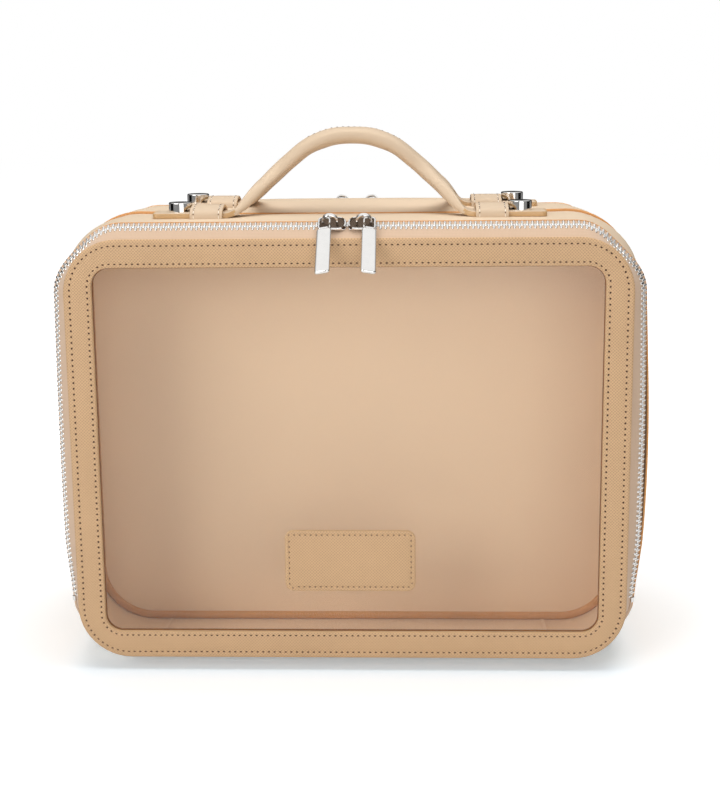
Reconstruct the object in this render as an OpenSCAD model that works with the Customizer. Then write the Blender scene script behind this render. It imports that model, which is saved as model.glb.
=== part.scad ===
// Soft make-up train case with two clear zip-round lids, one on each side of a
// central divider, and a rolled carrying strap whose forked ends slide through
// four keepers.  Millimetres, +Z up, the front looks along -Y.
// Origin: middle of the footprint, on the surface that the case stands on.

/* [Lid] */
// Width of a lid
lid_w = 290; // [240:1:360]
// Height of a lid
lid_h = 223; // [180:1:280]
// Outer corner radius of a lid
lid_r = 28; // [22:1:40]
// Width of the leather border round the window
border = 14.5; // [10:0.5:20]
// Corner radius of the window cut-out
window_r = 9; // [4:0.5:16]
// Thickness of the leather frame
frame_t = 2.2; // [1.6:0.1:3]
// Thickness of the clear panel
window_t = 0.8; // [0.5:0.1:1.2]
// Thickness of the backing that clamps the clear panel
backing_t = 0.8; // [0.5:0.1:1.5]
// How far the clear panel reaches under the frame
window_lap = 6; // [3:0.5:8]

/* [Label patch] */
// Width of the bare patch
patch_w = 68.6; // [40:0.2:90]
// Height of the bare patch
patch_h = 33; // [20:0.5:45]
// Thickness of the patch
patch_t = 1.2; // [0.8:0.1:2]
// Corner radius of the patch
patch_r = 4.5; // [2:0.5:8]
// Height of the patch above the lower edge of the window
patch_rise = 22.5; // [10:0.5:60]

/* [Body] */
// Distance between the two zip chains, front to rear
chain_gap = 127.4; // [100:0.2:170]
// Thickness of the padded leather wall
wall = 2.2; // [1.6:0.1:3]
// Thickness of the thin leather lip that covers the zip tape
lip_t = 0.8; // [0.6:0.05:1]
// Thickness of the fabric lining
lining_t = 0.8; // [0.5:0.1:1.2]
// Thickness of the divider panel
divider_t = 2; // [1.5:0.1:4]
// Width of the binding round the divider
binding_w = 3.2; // [2:0.1:5]
// Thickness of the binding
binding_t = 1.6; // [1:0.1:2.5]
// Radius of the piping cord round the middle seam
piping_r = 1; // [0.7:0.05:1.2]

/* [Zip] */
// Angle at which the zip band slopes from the body down to the lid
zip_slope = 36; // [30:1:42]
// Length of the band from a lid to the middle of its chain
tape_run = 9.1; // [7.5:0.1:11]
// Distance from one tooth to the next in a row
pitch = 2.6; // [2.4:0.1:3.2]
// Width of a tooth along the chain
tooth_w = 1.15; // [0.9:0.05:1.18]
// Length of a tooth behind the middle of the chain
tooth_len = 2.9; // [2.4:0.1:3.4]
// How far a tooth reaches past the middle of the chain
tooth_bite = 0.75; // [0.4:0.05:0.9]
// Thickness of a tooth
tooth_t = 2.4; // [1.8:0.1:2.6]
// Thickness of the woven tape
tape_t = 0.8; // [0.5:0.1:1]
// Length of an end stop along the chain
stop_len = 3; // [2:0.5:6]

/* [Slider] */
// Length of a slider along the chain
slider_len = 14.4; // [12:0.2:18]
// Width of a slider over its shoulders
slider_w = 9.6; // [8.8:0.2:11]
// Thickness of a slider plate
plate_t = 1.2; // [0.9:0.1:1.6]
// Length of the crown along the chain
crown_len = 6.8; // [6:0.2:8]
// Width of the crown across the chain
crown_w = 2; // [1.5:0.1:2.4]
// Height of the crown over the plate
crown_h = 4.6; // [4.2:0.1:5]
// Free space between two sliders that meet nose to nose
nose_gap = 0.8; // [0.4:0.1:3]

/* [Pull] */
// Length of the pull below its loop
pull_len = 30; // [16:0.5:34]
// Width of the pull
pull_w = 8; // [6:0.2:9]
// Thickness of the pull
pull_t = 2.6; // [2:0.1:2.8]
// Thickness of the loop
loop_t = 1; // [0.8:0.1:1.2]
// Width of the hole in the loop
loop_hole = 4.4; // [4:0.1:5]
// Angle at which the pull hangs below the level
pull_droop = 41; // [36:1:41]

/* [Handle] */
// Distance between the middle lines of the front and rear prongs
prong_gap = 66; // [60:1:70]
// Width of one prong of the strap
prong_w = 21; // [16:0.5:24]
// Thickness of the strap at its prongs
strap_t = 3.2; // [2.4:0.1:3.8]
// Width of the rolled grip
grip_w = 24; // [20:0.5:30]
// Thickness of the rolled grip
grip_t = 7.5; // [5:0.5:9]
// Rise of the middle of the grip above its prongs
grip_rise = 40.5; // [30:0.5:50]
// Slope of the legs of the arch
leg_slope = 43; // [38:1:46]
// Radius of the arch at its top
arch_r = 43.6; // [30:0.2:50]
// Distance from the middle of the case to the inner end of a keeper
keeper_x = 66; // [60:0.5:72]
// Length of a keeper along the strap
keeper_len = 17; // [12:0.5:20]
// Thickness of the keeper leather
keeper_t = 1.6; // [1.2:0.1:2]
// Height of the domed top of a keeper above the case
keeper_h = 7.3; // [6.5:0.1:9]
// Corner radius of the sleeve
keeper_r = 4; // [2:0.5:5]
// Diameter of a stud
stud_d = 12.4; // [9:0.2:14]
// Height of a stud above the strap
stud_h = 5; // [3:0.2:6]
// Diameter of the shank that holds a stud in the strap
shank_d = 4; // [3:0.2:5]
// Length of the strap beyond a stud
tail_len = 7.4; // [4:0.2:9]

/* [Hidden] */
$fn = 48;

// Space between parts that move past each other
clearance = 0.3;
// Space between the cut faces of two parts of the handle
fold_gap = 0.15;
// A length that reaches past whatever it cuts
far = 500;

// ---- places across the zip band ----
// Offsets (o) run outward from the lid outline and depths (f) run outward from
// the middle seam.  On the band, s runs from the lid towards the body and n is
// the outward normal; both are 0 in the middle of the chain.
half_tape = tape_t / 2;
chain_f = chain_gap / 2;
chain_o = tape_run * sin(zip_slope) - half_tape * cos(zip_slope);
function on_band(s, n) = [
    chain_o + s * sin(zip_slope) + n * cos(zip_slope),
    chain_f - s * cos(zip_slope) + n * sin(zip_slope)
];
lid_back = on_band(-tape_run, half_tape)[1];
lid_front = lid_back + frame_t;
shell_o = on_band(tooth_len, half_tape)[0] + 0.2;
lip_in = shell_o - lip_t;
lip_end = on_band(tooth_len, half_tape)[1] - 1.2;
lip_reach = 6;
wall_in = shell_o - wall;
wall_end = lip_end - lip_reach;
lining_in = wall_in - lining_t;
lining_end = lip_end - lip_reach / 3;
band_gap = 0.5;

// ---- heights and straight stretches ----
mid_z = lid_h / 2 + shell_o;
top_z = lid_h + 2 * shell_o;
function half(side) = side % 2 == 0 ? [lid_w / 2, lid_h / 2] : [lid_h / 2, lid_w / 2];
ALL_SIDES = [0, 1, 2, 3];
ZIP_SIDES = [0, 1, 3];
TOP_CORNERS = [0, 1];
LOW_CORNERS = [2, 3];
BOTTOM = [2];
NONE = [];

// ---- colours ----
frame_tan = [0.80, 0.66, 0.50];
body_tan = [0.90, 0.80, 0.70];
keeper_tan = [0.91, 0.83, 0.73];
tape_tan = [0.87, 0.76, 0.66];
lining_tan = [0.83, 0.73, 0.62];
binding_brown = [0.66, 0.47, 0.29];
nickel = [0.80, 0.80, 0.82];
clear_tint = [0.85, 0.80, 0.72, 0.35];

// ---- frames of reference ----
// Drawn flat: x to the right, y up from the lid's middle, z = depth f
module front() translate([0, 0, mid_z]) rotate([90, 0, 0]) children();
module rear() mirror([0, 1, 0]) front() children();
module left() mirror([1, 0, 0]) children();

// Sweeps a profile drawn in (offset, depth) along sides and corners of the lid
// outline; side 0 is the top and corner 0 the top right one, then anticlockwise
module band(sides, corners) {
    for (a = sides) rotate(90 * a) translate([0, half(a)[1], 0]) rotate([90, 0, 90])
        linear_extrude(2 * (half(a)[0] - lid_r), center = true) children();
    for (a = corners) rotate(90 * a) translate(concat(half(a) - [lid_r, lid_r], 0))
        rotate_extrude(angle = 90) translate([lid_r, 0]) children();
}

// Rectangle with round corners
module rounded(w, h, r) {
    square([w - 2 * r, h], center = true);
    square([w, h - 2 * r], center = true);
    for (x = [-1, 1], y = [-1, 1]) translate([x * (w / 2 - r), y * (h / 2 - r)]) circle(r);
}

// Lid outline moved outward by an offset
module lid_outline(out) rounded(lid_w + 2 * out, lid_h + 2 * out, lid_r + out);

// A block of the profile, given its two corners
module block(a, b) translate(a) square(b - a);

// ---- body ----
module shell_profile() {
    seam_r = piping_r * 1.2;
    seam_f = piping_r * 0.45;
    difference() {
        block([wall_in, seam_f], [shell_o, wall_end]);
        block([shell_o - seam_r, 0], [far, seam_f + seam_r]);
    }
    intersection() {
        translate([shell_o - seam_r, seam_f + seam_r]) circle(seam_r);
        block([shell_o - seam_r, seam_f], [shell_o, seam_f + seam_r]);
    }
    block([lip_in, wall_end], [shell_o, lip_end - lip_t / 2]);
    translate([shell_o - lip_t / 2, lip_end - lip_t / 2]) circle(lip_t / 2);
}
module shell() band(ALL_SIDES, ALL_SIDES) shell_profile();

// The cord is pressed flat where the case stands on it
module piping() {
    flange = piping_r * 0.45;
    difference() {
        band(ALL_SIDES, ALL_SIDES) {
            translate([shell_o + 0.3 * piping_r, 0]) circle(piping_r);
            block([wall_in, -flange], [shell_o - piping_r * 0.5, flange]);
        }
        translate([-far / 2, -far - mid_z, -far / 2]) cube(far);
    }
}

module lining() linear_extrude(lining_end) difference() {
    lid_outline(wall_in);
    lid_outline(lining_in);
}

module divider() translate([0, 0, -divider_t / 2]) linear_extrude(divider_t)
    lid_outline(lining_in);

module binding() band(ALL_SIDES, ALL_SIDES) translate([lining_in, divider_t / 2]) {
    round_r = binding_t / 2;
    block([round_r - binding_w, 0], [0, binding_t]);
    translate([round_r - binding_w, round_r]) circle(round_r);
}

// ---- zip ----
module body_tape_profile() polygon([
    on_band(tooth_len, half_tape), [lip_in, lip_end], [lip_in, wall_end],
    [lip_in - tape_t, wall_end], [lip_in - tape_t, lip_end], on_band(tooth_len, -half_tape)
]);
// Beyond the last tooth the two tapes run on to the bottom corners
module body_tape_end_profile() polygon([
    on_band(band_gap, half_tape), on_band(tooth_len, half_tape),
    on_band(tooth_len, -half_tape), on_band(band_gap, -half_tape)
]);
module body_tape() {
    band(ZIP_SIDES, ALL_SIDES) body_tape_profile();
    band(NONE, LOW_CORNERS) body_tape_end_profile();
}

// The tape ends on the back of the frame
module lid_tape_profile(s_end) polygon([
    on_band(s_end, half_tape), on_band(s_end, -half_tape),
    on_band(-tape_run - tape_t * tan(zip_slope), -half_tape), on_band(-tape_run, half_tape)
]);
module lid_tape() {
    band(ZIP_SIDES, TOP_CORNERS) lid_tape_profile(-tooth_len);
    band(NONE, LOW_CORNERS) lid_tape_profile(-band_gap);
}

bead_w = 0.8;
bead_t = 1.2;
// How far a tooth is pressed onto the bead
grip = 0.2;
// One tooth seen on the band, its nose towards -y and its foot on the bead
module tooth_shape() {
    nose = tooth_w * 0.28;
    foot = tooth_len - bead_w + grip;
    polygon([
        [-tooth_w / 2, foot], [-tooth_w / 2, 0], [-nose, -tooth_bite],
        [nose, -tooth_bite], [tooth_w / 2, 0], [tooth_w / 2, foot]
    ]);
}
function whole(run) = round(run / pitch);
module teeth_along(run, shift, first, last) {
    step = run / whole(run);
    linear_extrude(tooth_t, center = true) for (i = [first:whole(run) - 1 - last])
        translate([(i + shift) * step - run / 2, 0]) tooth_shape();
    translate([-run / 2, tooth_len - bead_w, -bead_t / 2]) cube([run, bead_w, bead_t]);
}
// side is 1 for the body's row and -1 for the lid's
module bead_profile(side) polygon([
    on_band(side * (tooth_len - bead_w), bead_t / 2), on_band(side * tooth_len, bead_t / 2),
    on_band(side * tooth_len, -bead_t / 2), on_band(side * (tooth_len - bead_w), -bead_t / 2)
]);
// Puts a solid drawn as (along, s, n) on the chain, after turning it by a corner angle
module on_chain(side, turn) rotate(90 * side)
    translate(turn == 0 ? [0, half(side)[1] - lid_r, 0] : concat(half(side) - [lid_r, lid_r], 0))
    rotate(-turn) translate([0, lid_r + chain_o, chain_f]) rotate([zip_slope - 90, 0, 0])
    children();
corner_teeth = whole((lid_r + chain_o) * PI / 2);
// Teeth that the end stop takes the place of
stop_teeth = ceil(stop_len / pitch);
module facing(side) mirror([0, side < 0 ? 1 : 0, 0]) children();
module tooth_row(side) {
    shift = 0.5 + side * 0.25;
    for (a = ZIP_SIDES) on_chain(a, 0) facing(side) teeth_along(
        2 * (half(a)[0] - lid_r), shift, a == 1 ? stop_teeth : 0, a == 3 ? stop_teeth : 0);
    for (a = TOP_CORNERS, i = [0:corner_teeth - 1])
        on_chain(a, (i + shift) * 90 / corner_teeth) facing(side)
            linear_extrude(tooth_t, center = true) tooth_shape();
    band(NONE, TOP_CORNERS) bead_profile(side);
}
module zip_stops() {
    side_run = 2 * (half(1)[0] - lid_r);
    for (end = [-1, 1]) on_chain(2 + end, 0) translate([
        end * (side_run - stop_len) / 2, (band_gap + tooth_len - bead_w) / 2, 0
    ]) cube([stop_len, tooth_len - bead_w - band_gap, tooth_t + 2 * clearance], center = true);
}

// ---- soft hinge along the bottom ----
module hinge_strip() band(BOTTOM, NONE) {
    body_tape_profile();
    body_tape_end_profile();
}
module hinge_flap() band(BOTTOM, NONE) lid_tape_profile(-band_gap);

// ---- lid ----
edge_r = 0.9;
window_w = lid_w - 2 * border;
window_h = lid_h - 2 * border;
module window_outline(out) rounded(window_w + 2 * out, window_h + 2 * out, window_r + out);
module lid_frame() {
    translate([0, 0, lid_back]) linear_extrude(frame_t) difference() {
        lid_outline(-edge_r);
        window_outline(0);
    }
    band(ALL_SIDES, ALL_SIDES) {
        block([-edge_r, lid_back], [0, lid_front - edge_r]);
        intersection() {
            translate([-edge_r, lid_front - edge_r]) circle(edge_r);
            block([-edge_r, lid_front - edge_r], [0, lid_front]);
        }
    }
}
module window() translate([0, 0, lid_back - window_t]) linear_extrude(window_t)
    window_outline(window_lap);
module backing() translate([0, 0, lid_back - window_t - backing_t]) linear_extrude(backing_t)
    difference() {
        window_outline(window_lap);
        window_outline(1);
    }
module patch() translate([0, (patch_h - window_h) / 2 + patch_rise, lid_back])
    linear_extrude(patch_t) rounded(patch_w, patch_h, patch_r);

// ---- slider: drawn on the chain as (along, s, n), the nose at the middle ----
plate_n = tooth_t / 2 + clearance;
plate_top = plate_n + plate_t;
rail_w = slider_w - 1.6;
rail_in = tooth_len + clearance;
rail_n = half_tape + clearance;
crown_x = nose_gap / 2 + slider_len * 0.51;
crown_s = -0.6;
pillar = 1.6;
crown_bar = 1;
module slider_outline() translate([nose_gap / 2 + slider_len / 2, 0])
    rounded(slider_len, slider_w, slider_w * 0.45);
module crown_profile() {
    round_r = 2.2;
    peak = plate_top + crown_h;
    difference() {
        union() {
            block([-crown_len / 2, plate_n + plate_t / 2], [crown_len / 2, peak - round_r]);
            for (x = [-1, 1]) translate([x * (crown_len / 2 - round_r), peak - round_r])
                circle(round_r);
            block([round_r - crown_len / 2, plate_top], [crown_len / 2 - round_r, peak]);
        }
        block([pillar - crown_len / 2, plate_top], [crown_len / 2 - pillar, peak - crown_bar]);
    }
}
module slider() {
    rail_inset = slider_len / 12;
    rail_len = slider_len - 2 * rail_inset;
    rail_x = nose_gap / 2 + rail_inset;
    translate([0, 0, plate_n]) linear_extrude(plate_t) slider_outline();
    for (side = [0, 1]) mirror([0, side, 0])
        translate([rail_x, rail_in, rail_n]) cube([rail_len, rail_w / 2 - rail_in, plate_n - rail_n]);
    translate([crown_x, crown_s, 0]) rotate([90, 0, 0])
        linear_extrude(crown_w, center = true) crown_profile();
    // lower plate, under the lid's row only, so that the body's row can leave it
    translate([rail_x, 0, 0]) rotate([90, 0, 90]) linear_extrude(rail_len) polygon([
        [-rail_w / 2, -rail_n], [-rail_in, -rail_n], [-rail_in, -plate_n],
        [-1.1, -plate_n], [-1.9, -plate_top], [-rail_w / 2, -plate_top]
    ]);
}

// ---- pull: drawn from the middle of the crown's pillar towards -y ----
loop_side = 1.3;
loop_slack = 0.5;
loop_bar = 0.9;
loop_front = 5.8;
pull_x = crown_x + crown_len / 2 - pillar - clearance + loop_hole / 2;
pivot_n = plate_top + (crown_h - crown_bar) / 2;
module pull_shape() {
    ring_w = loop_hole + 2 * loop_side;
    hole_back = crown_w / 2 + loop_slack;
    linear_extrude(loop_t, center = true) difference() {
        block([-ring_w / 2, -loop_front - loop_side], [ring_w / 2, hole_back + loop_bar]);
        block([-loop_hole / 2, -loop_front], [loop_hole / 2, hole_back]);
    }
    translate([0, -loop_front, 0]) rotate([90, 0, 0]) linear_extrude(pull_len) {
        bevel = 0.5;
        square([pull_w - 2 * bevel, pull_t], center = true);
        square([pull_w, pull_t - 2 * bevel], center = true);
        for (x = [-1, 1], y = [-1, 1])
            translate([x * (pull_w / 2 - bevel), y * (pull_t / 2 - bevel)]) circle(bevel);
    }
}
module pull() on_chain(0, 0) translate([pull_x, crown_s, pivot_n])
    rotate([pull_droop - zip_slope, 0, 0]) pull_shape();

// ---- handle ----
prong_z = top_z + clearance;
stud_x = keeper_x + keeper_len + 0.2 + stud_d / 2;
tail_x = stud_x + stud_d / 2 + tail_len;
tail_r = 2;
foot_r = (keeper_x * tan(leg_slope) - grip_rise)
    / (sin(leg_slope) * tan(leg_slope) - 1 + cos(leg_slope)) - arch_r;
crotch_x = 55;
// Where the leg ends and the foot, which bends, begins
foot_x = crotch_x - 2;
ARC_STEPS = 10;
// Middle line of the strap from the top of the arch outward: [x, z, slope, thickness]
arch_line = [for (i = [0:ARC_STEPS]) let (a = leg_slope * i / ARC_STEPS)
    [arch_r * sin(a), grip_rise - arch_r * (1 - cos(a)), a, grip_t]];
foot_line = [for (i = [0:ARC_STEPS]) let (a = leg_slope * (1 - i / ARC_STEPS))
    [keeper_x - foot_r * sin(a), foot_r * (1 - cos(a)), a, strap_t]];
strap_line = concat(arch_line, foot_line);
function strap_edge(p, side) =
    [p[0] + side * p[3] / 2 * sin(p[2]), p[1] + side * p[3] / 2 * cos(p[2])];
module strap_side_view() polygon(concat(
    [for (p = strap_line) strap_edge(p, 1)],
    [for (i = [len(strap_line) - 1:-1:0]) strap_edge(strap_line[i], -1)]
));
function ease(t) = let (u = min(max(t, 0), 1)) u * u * (3 - 2 * u);
flare_from = 34;
PLAN_STEPS = 12;
function flip(points) = [for (i = [len(points) - 1:-1:0]) [points[i][0], -points[i][1]]];
// The grip widens into two prongs that part at the crotch
module strap_plan() {
    prong_in = (prong_gap - prong_w) / 2;
    flare = prong_in + prong_w - grip_w / 2;
    outer = [for (i = [0:PLAN_STEPS]) let (t = i / PLAN_STEPS)
        [flare_from + t * (keeper_x - flare_from), grip_w / 2 + flare * ease(t)]];
    inner = [for (i = [PLAN_STEPS:-1:1]) let (t = i / PLAN_STEPS)
        [crotch_x + t * (keeper_x - crotch_x), prong_in * sqrt(ease(t))]];
    edge = concat([[0, grip_w / 2]], outer, inner);
    polygon(concat(edge, [[crotch_x, 0]], flip(edge)));
}
// The right half of the strap between two distances from the middle
module strap(from, to) intersection() {
    translate([0, 0, prong_z + strap_t / 2]) rotate([90, 0, 0])
        linear_extrude(far, center = true) strap_side_view();
    linear_extrude(far) strap_plan();
    translate([from, -far / 2, 0]) cube([to - from, far, far]);
}
module leg() strap(fold_gap / 2, foot_x - fold_gap / 2);
module foot() strap(foot_x + fold_gap / 2, keeper_x);
module prongs() translate([0, 0, prong_z]) linear_extrude(strap_t)
    for (side = [-1, 1]) translate([0, side * prong_gap / 2]) difference() {
        union() {
            block([keeper_x, -prong_w / 2], [tail_x - prong_w / 2, prong_w / 2]);
            translate([tail_x - prong_w / 2, 0]) rounded(prong_w, prong_w, tail_r);
        }
        translate([stud_x, 0]) circle(d = shank_d);
    }
module stud() translate([stud_x, -prong_gap / 2, prong_z]) rotate_extrude() {
    bevel = 0.6;
    block([0, 0], [shank_d / 2, strap_t]);
    block([0, strap_t], [stud_d / 2, strap_t + stud_h - bevel]);
    block([0, strap_t], [stud_d / 2 - bevel, strap_t + stud_h]);
    translate([stud_d / 2 - bevel, strap_t + stud_h - bevel]) circle(bevel);
}
module keeper_section(shrink) {
    in_w = prong_w + 4 * clearance;
    half_w = in_w / 2 + keeper_t;
    dome = 1.7;
    dome_r = (half_w * half_w + dome * dome) / (2 * dome);
    intersection() {
        translate([0, keeper_h - dome_r]) circle(dome_r - shrink, $fn = 180);
        block([shrink - half_w, 0], [half_w - shrink, keeper_h]);
        rounded(2 * (half_w - shrink), 2 * (keeper_h - shrink), keeper_r - shrink);
    }
}
module keeper() translate([keeper_x, -prong_gap / 2, top_z]) rotate([90, 0, 90])
    linear_extrude(keeper_len) difference() {
        keeper_section(0);
        keeper_section(keeper_t);
    }

// ---- nodes ----
module front_shell() color(body_tan) front() shell();
module rear_shell() color(body_tan) rear() shell();
module seam_piping() color(frame_tan) front() piping();
module front_lining() color(lining_tan) front() lining();
module rear_lining() color(lining_tan) rear() lining();
module divider_panel() color(lining_tan) front() divider();
module front_binding() color(binding_brown) front() binding();
module rear_binding() color(binding_brown) rear() binding();
module front_body_tape() color(tape_tan) front() body_tape();
module rear_body_tape() color(tape_tan) rear() body_tape();
module front_body_teeth() color(nickel) front() tooth_row(1);
module rear_body_teeth() color(nickel) rear() tooth_row(1);
module front_zip_stops() color(nickel) front() zip_stops();
module rear_zip_stops() color(nickel) rear() zip_stops();
module front_hinge_strip() color(frame_tan) front() hinge_strip();
module rear_hinge_strip() color(frame_tan) rear() hinge_strip();
module front_left_keeper() color(keeper_tan) left() keeper();
module front_right_keeper() color(keeper_tan) keeper();
module rear_left_keeper() color(keeper_tan) mirror([0, 1, 0]) left() keeper();
module rear_right_keeper() color(keeper_tan) mirror([0, 1, 0]) keeper();

module front_lid_frame() color(frame_tan) front() lid_frame();
module front_window() color(clear_tint) front() window();
module front_lid_backing() color(lining_tan) front() backing();
module front_lid_tape() color(tape_tan) front() lid_tape();
module front_lid_teeth() color(nickel) front() tooth_row(-1);
module front_hinge_flap() color(frame_tan) front() hinge_flap();
module label_patch() color(frame_tan) front() patch();
module rear_lid_frame() color(frame_tan) rear() lid_frame();
module rear_window() color(clear_tint) rear() window();
module rear_lid_backing() color(lining_tan) rear() backing();
module rear_lid_tape() color(tape_tan) rear() lid_tape();
module rear_lid_teeth() color(nickel) rear() tooth_row(-1);
module rear_hinge_flap() color(frame_tan) rear() hinge_flap();

module front_left_slider() color(nickel) left() front() on_chain(0, 0) slider();
module front_right_slider() color(nickel) front() on_chain(0, 0) slider();
module rear_left_slider() color(nickel) left() rear() on_chain(0, 0) slider();
module rear_right_slider() color(nickel) rear() on_chain(0, 0) slider();
module front_left_pull() color(nickel) left() front() pull();
module front_right_pull() color(nickel) front() pull();
module rear_left_pull() color(nickel) left() rear() pull();
module rear_right_pull() color(nickel) rear() pull();

module left_prongs() color(keeper_tan) left() prongs();
module left_foot() color(keeper_tan) left() foot();
module left_leg() color(keeper_tan) left() leg();
module right_leg() color(keeper_tan) leg();
module right_foot() color(keeper_tan) foot();
module right_prongs() color(keeper_tan) prongs();
module front_left_stud() color(nickel) left() stud();
module front_right_stud() color(nickel) stud();
module rear_left_stud() color(nickel) mirror([0, 1, 0]) left() stud();
module rear_right_stud() color(nickel) mirror([0, 1, 0]) stud();

front_shell();
rear_shell();
seam_piping();
front_lining();
rear_lining();
divider_panel();
front_binding();
rear_binding();
front_body_tape();
rear_body_tape();
front_body_teeth();
rear_body_teeth();
front_zip_stops();
rear_zip_stops();
front_hinge_strip();
rear_hinge_strip();
front_left_keeper();
front_right_keeper();
rear_left_keeper();
rear_right_keeper();
front_lid_frame();
front_window();
front_lid_backing();
front_lid_tape();
front_lid_teeth();
front_hinge_flap();
label_patch();
rear_lid_frame();
rear_window();
rear_lid_backing();
rear_lid_tape();
rear_lid_teeth();
rear_hinge_flap();
front_left_slider();
front_right_slider();
rear_left_slider();
rear_right_slider();
front_left_pull();
front_right_pull();
rear_left_pull();
rear_right_pull();
left_prongs();
left_foot();
left_leg();
right_leg();
right_foot();
right_prongs();
front_left_stud();
front_right_stud();
rear_left_stud();
rear_right_stud();
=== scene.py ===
"""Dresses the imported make-up train case: leather, cloth, zips, metal, strap, camera and light."""

import logging
import math
from collections.abc import Callable, Iterable, Sequence
from dataclasses import dataclass, field
from enum import Enum
from functools import cache

import bmesh
import bpy
from mathutils import Matrix, Vector


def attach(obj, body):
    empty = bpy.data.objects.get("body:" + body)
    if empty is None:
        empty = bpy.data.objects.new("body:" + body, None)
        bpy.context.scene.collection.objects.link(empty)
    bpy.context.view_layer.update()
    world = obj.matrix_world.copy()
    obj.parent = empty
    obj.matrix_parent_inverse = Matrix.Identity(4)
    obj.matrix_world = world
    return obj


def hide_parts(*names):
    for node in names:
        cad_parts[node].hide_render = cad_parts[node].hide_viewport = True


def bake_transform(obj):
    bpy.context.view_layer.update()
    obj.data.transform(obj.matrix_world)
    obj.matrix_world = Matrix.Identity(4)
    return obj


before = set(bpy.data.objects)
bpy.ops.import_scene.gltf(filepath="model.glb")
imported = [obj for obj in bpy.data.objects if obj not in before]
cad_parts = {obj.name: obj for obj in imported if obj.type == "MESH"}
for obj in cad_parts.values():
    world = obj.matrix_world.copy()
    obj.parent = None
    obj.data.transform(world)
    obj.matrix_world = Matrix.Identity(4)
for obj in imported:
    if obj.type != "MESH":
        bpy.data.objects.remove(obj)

LOG = logging.getLogger("train_case")
MM = 0.001
MERGE = 0.0005  # points of a piece that are nearer than this, in millimetres, are one
BAND = 0.314  # metres from band to band of a wave texture at scale 1
Pair = tuple[float, float]
Colour = tuple[float, float, float]
Socket = bpy.types.NodeSocket
Source = float | Socket | bpy.types.Node


def srgb(*channels: int) -> Colour:
    """Gives the linear colour of red, green and blue from 0 to 255."""
    parts = [channel / 255 for channel in channels]
    return tuple(part / 12.92 if part <= 0.04045 else ((part + 0.055) / 1.055) ** 2.4 for part in parts)


def shade(colour: Colour, factor: float) -> Colour:
    """Darkens or lightens a colour."""
    return colour[0] * factor, colour[1] * factor, colour[2] * factor


def moved(x: float, y: float, z: float) -> Matrix:
    """Gives a move."""
    return Matrix.Translation((x, y, z))


def sized(x: float, y: float, z: float) -> Matrix:
    """Gives a stretch."""
    return Matrix.Diagonal((x, y, z, 1))


def rotated(degrees: float, axis: str) -> Matrix:
    """Gives a turn about an axis."""
    return Matrix.Rotation(math.radians(degrees), 4, axis)


def ray(angle: float) -> Vector:
    """Gives the direction at an angle in radians from X toward Y."""
    return Vector((math.cos(angle), math.sin(angle), 0))


def ease(share: float) -> float:
    """A smooth step from 0 to 1."""
    part = min(max(share, 0.0), 1.0)
    return part * part * (3 - 2 * part)


# ---- finishes ----


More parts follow.
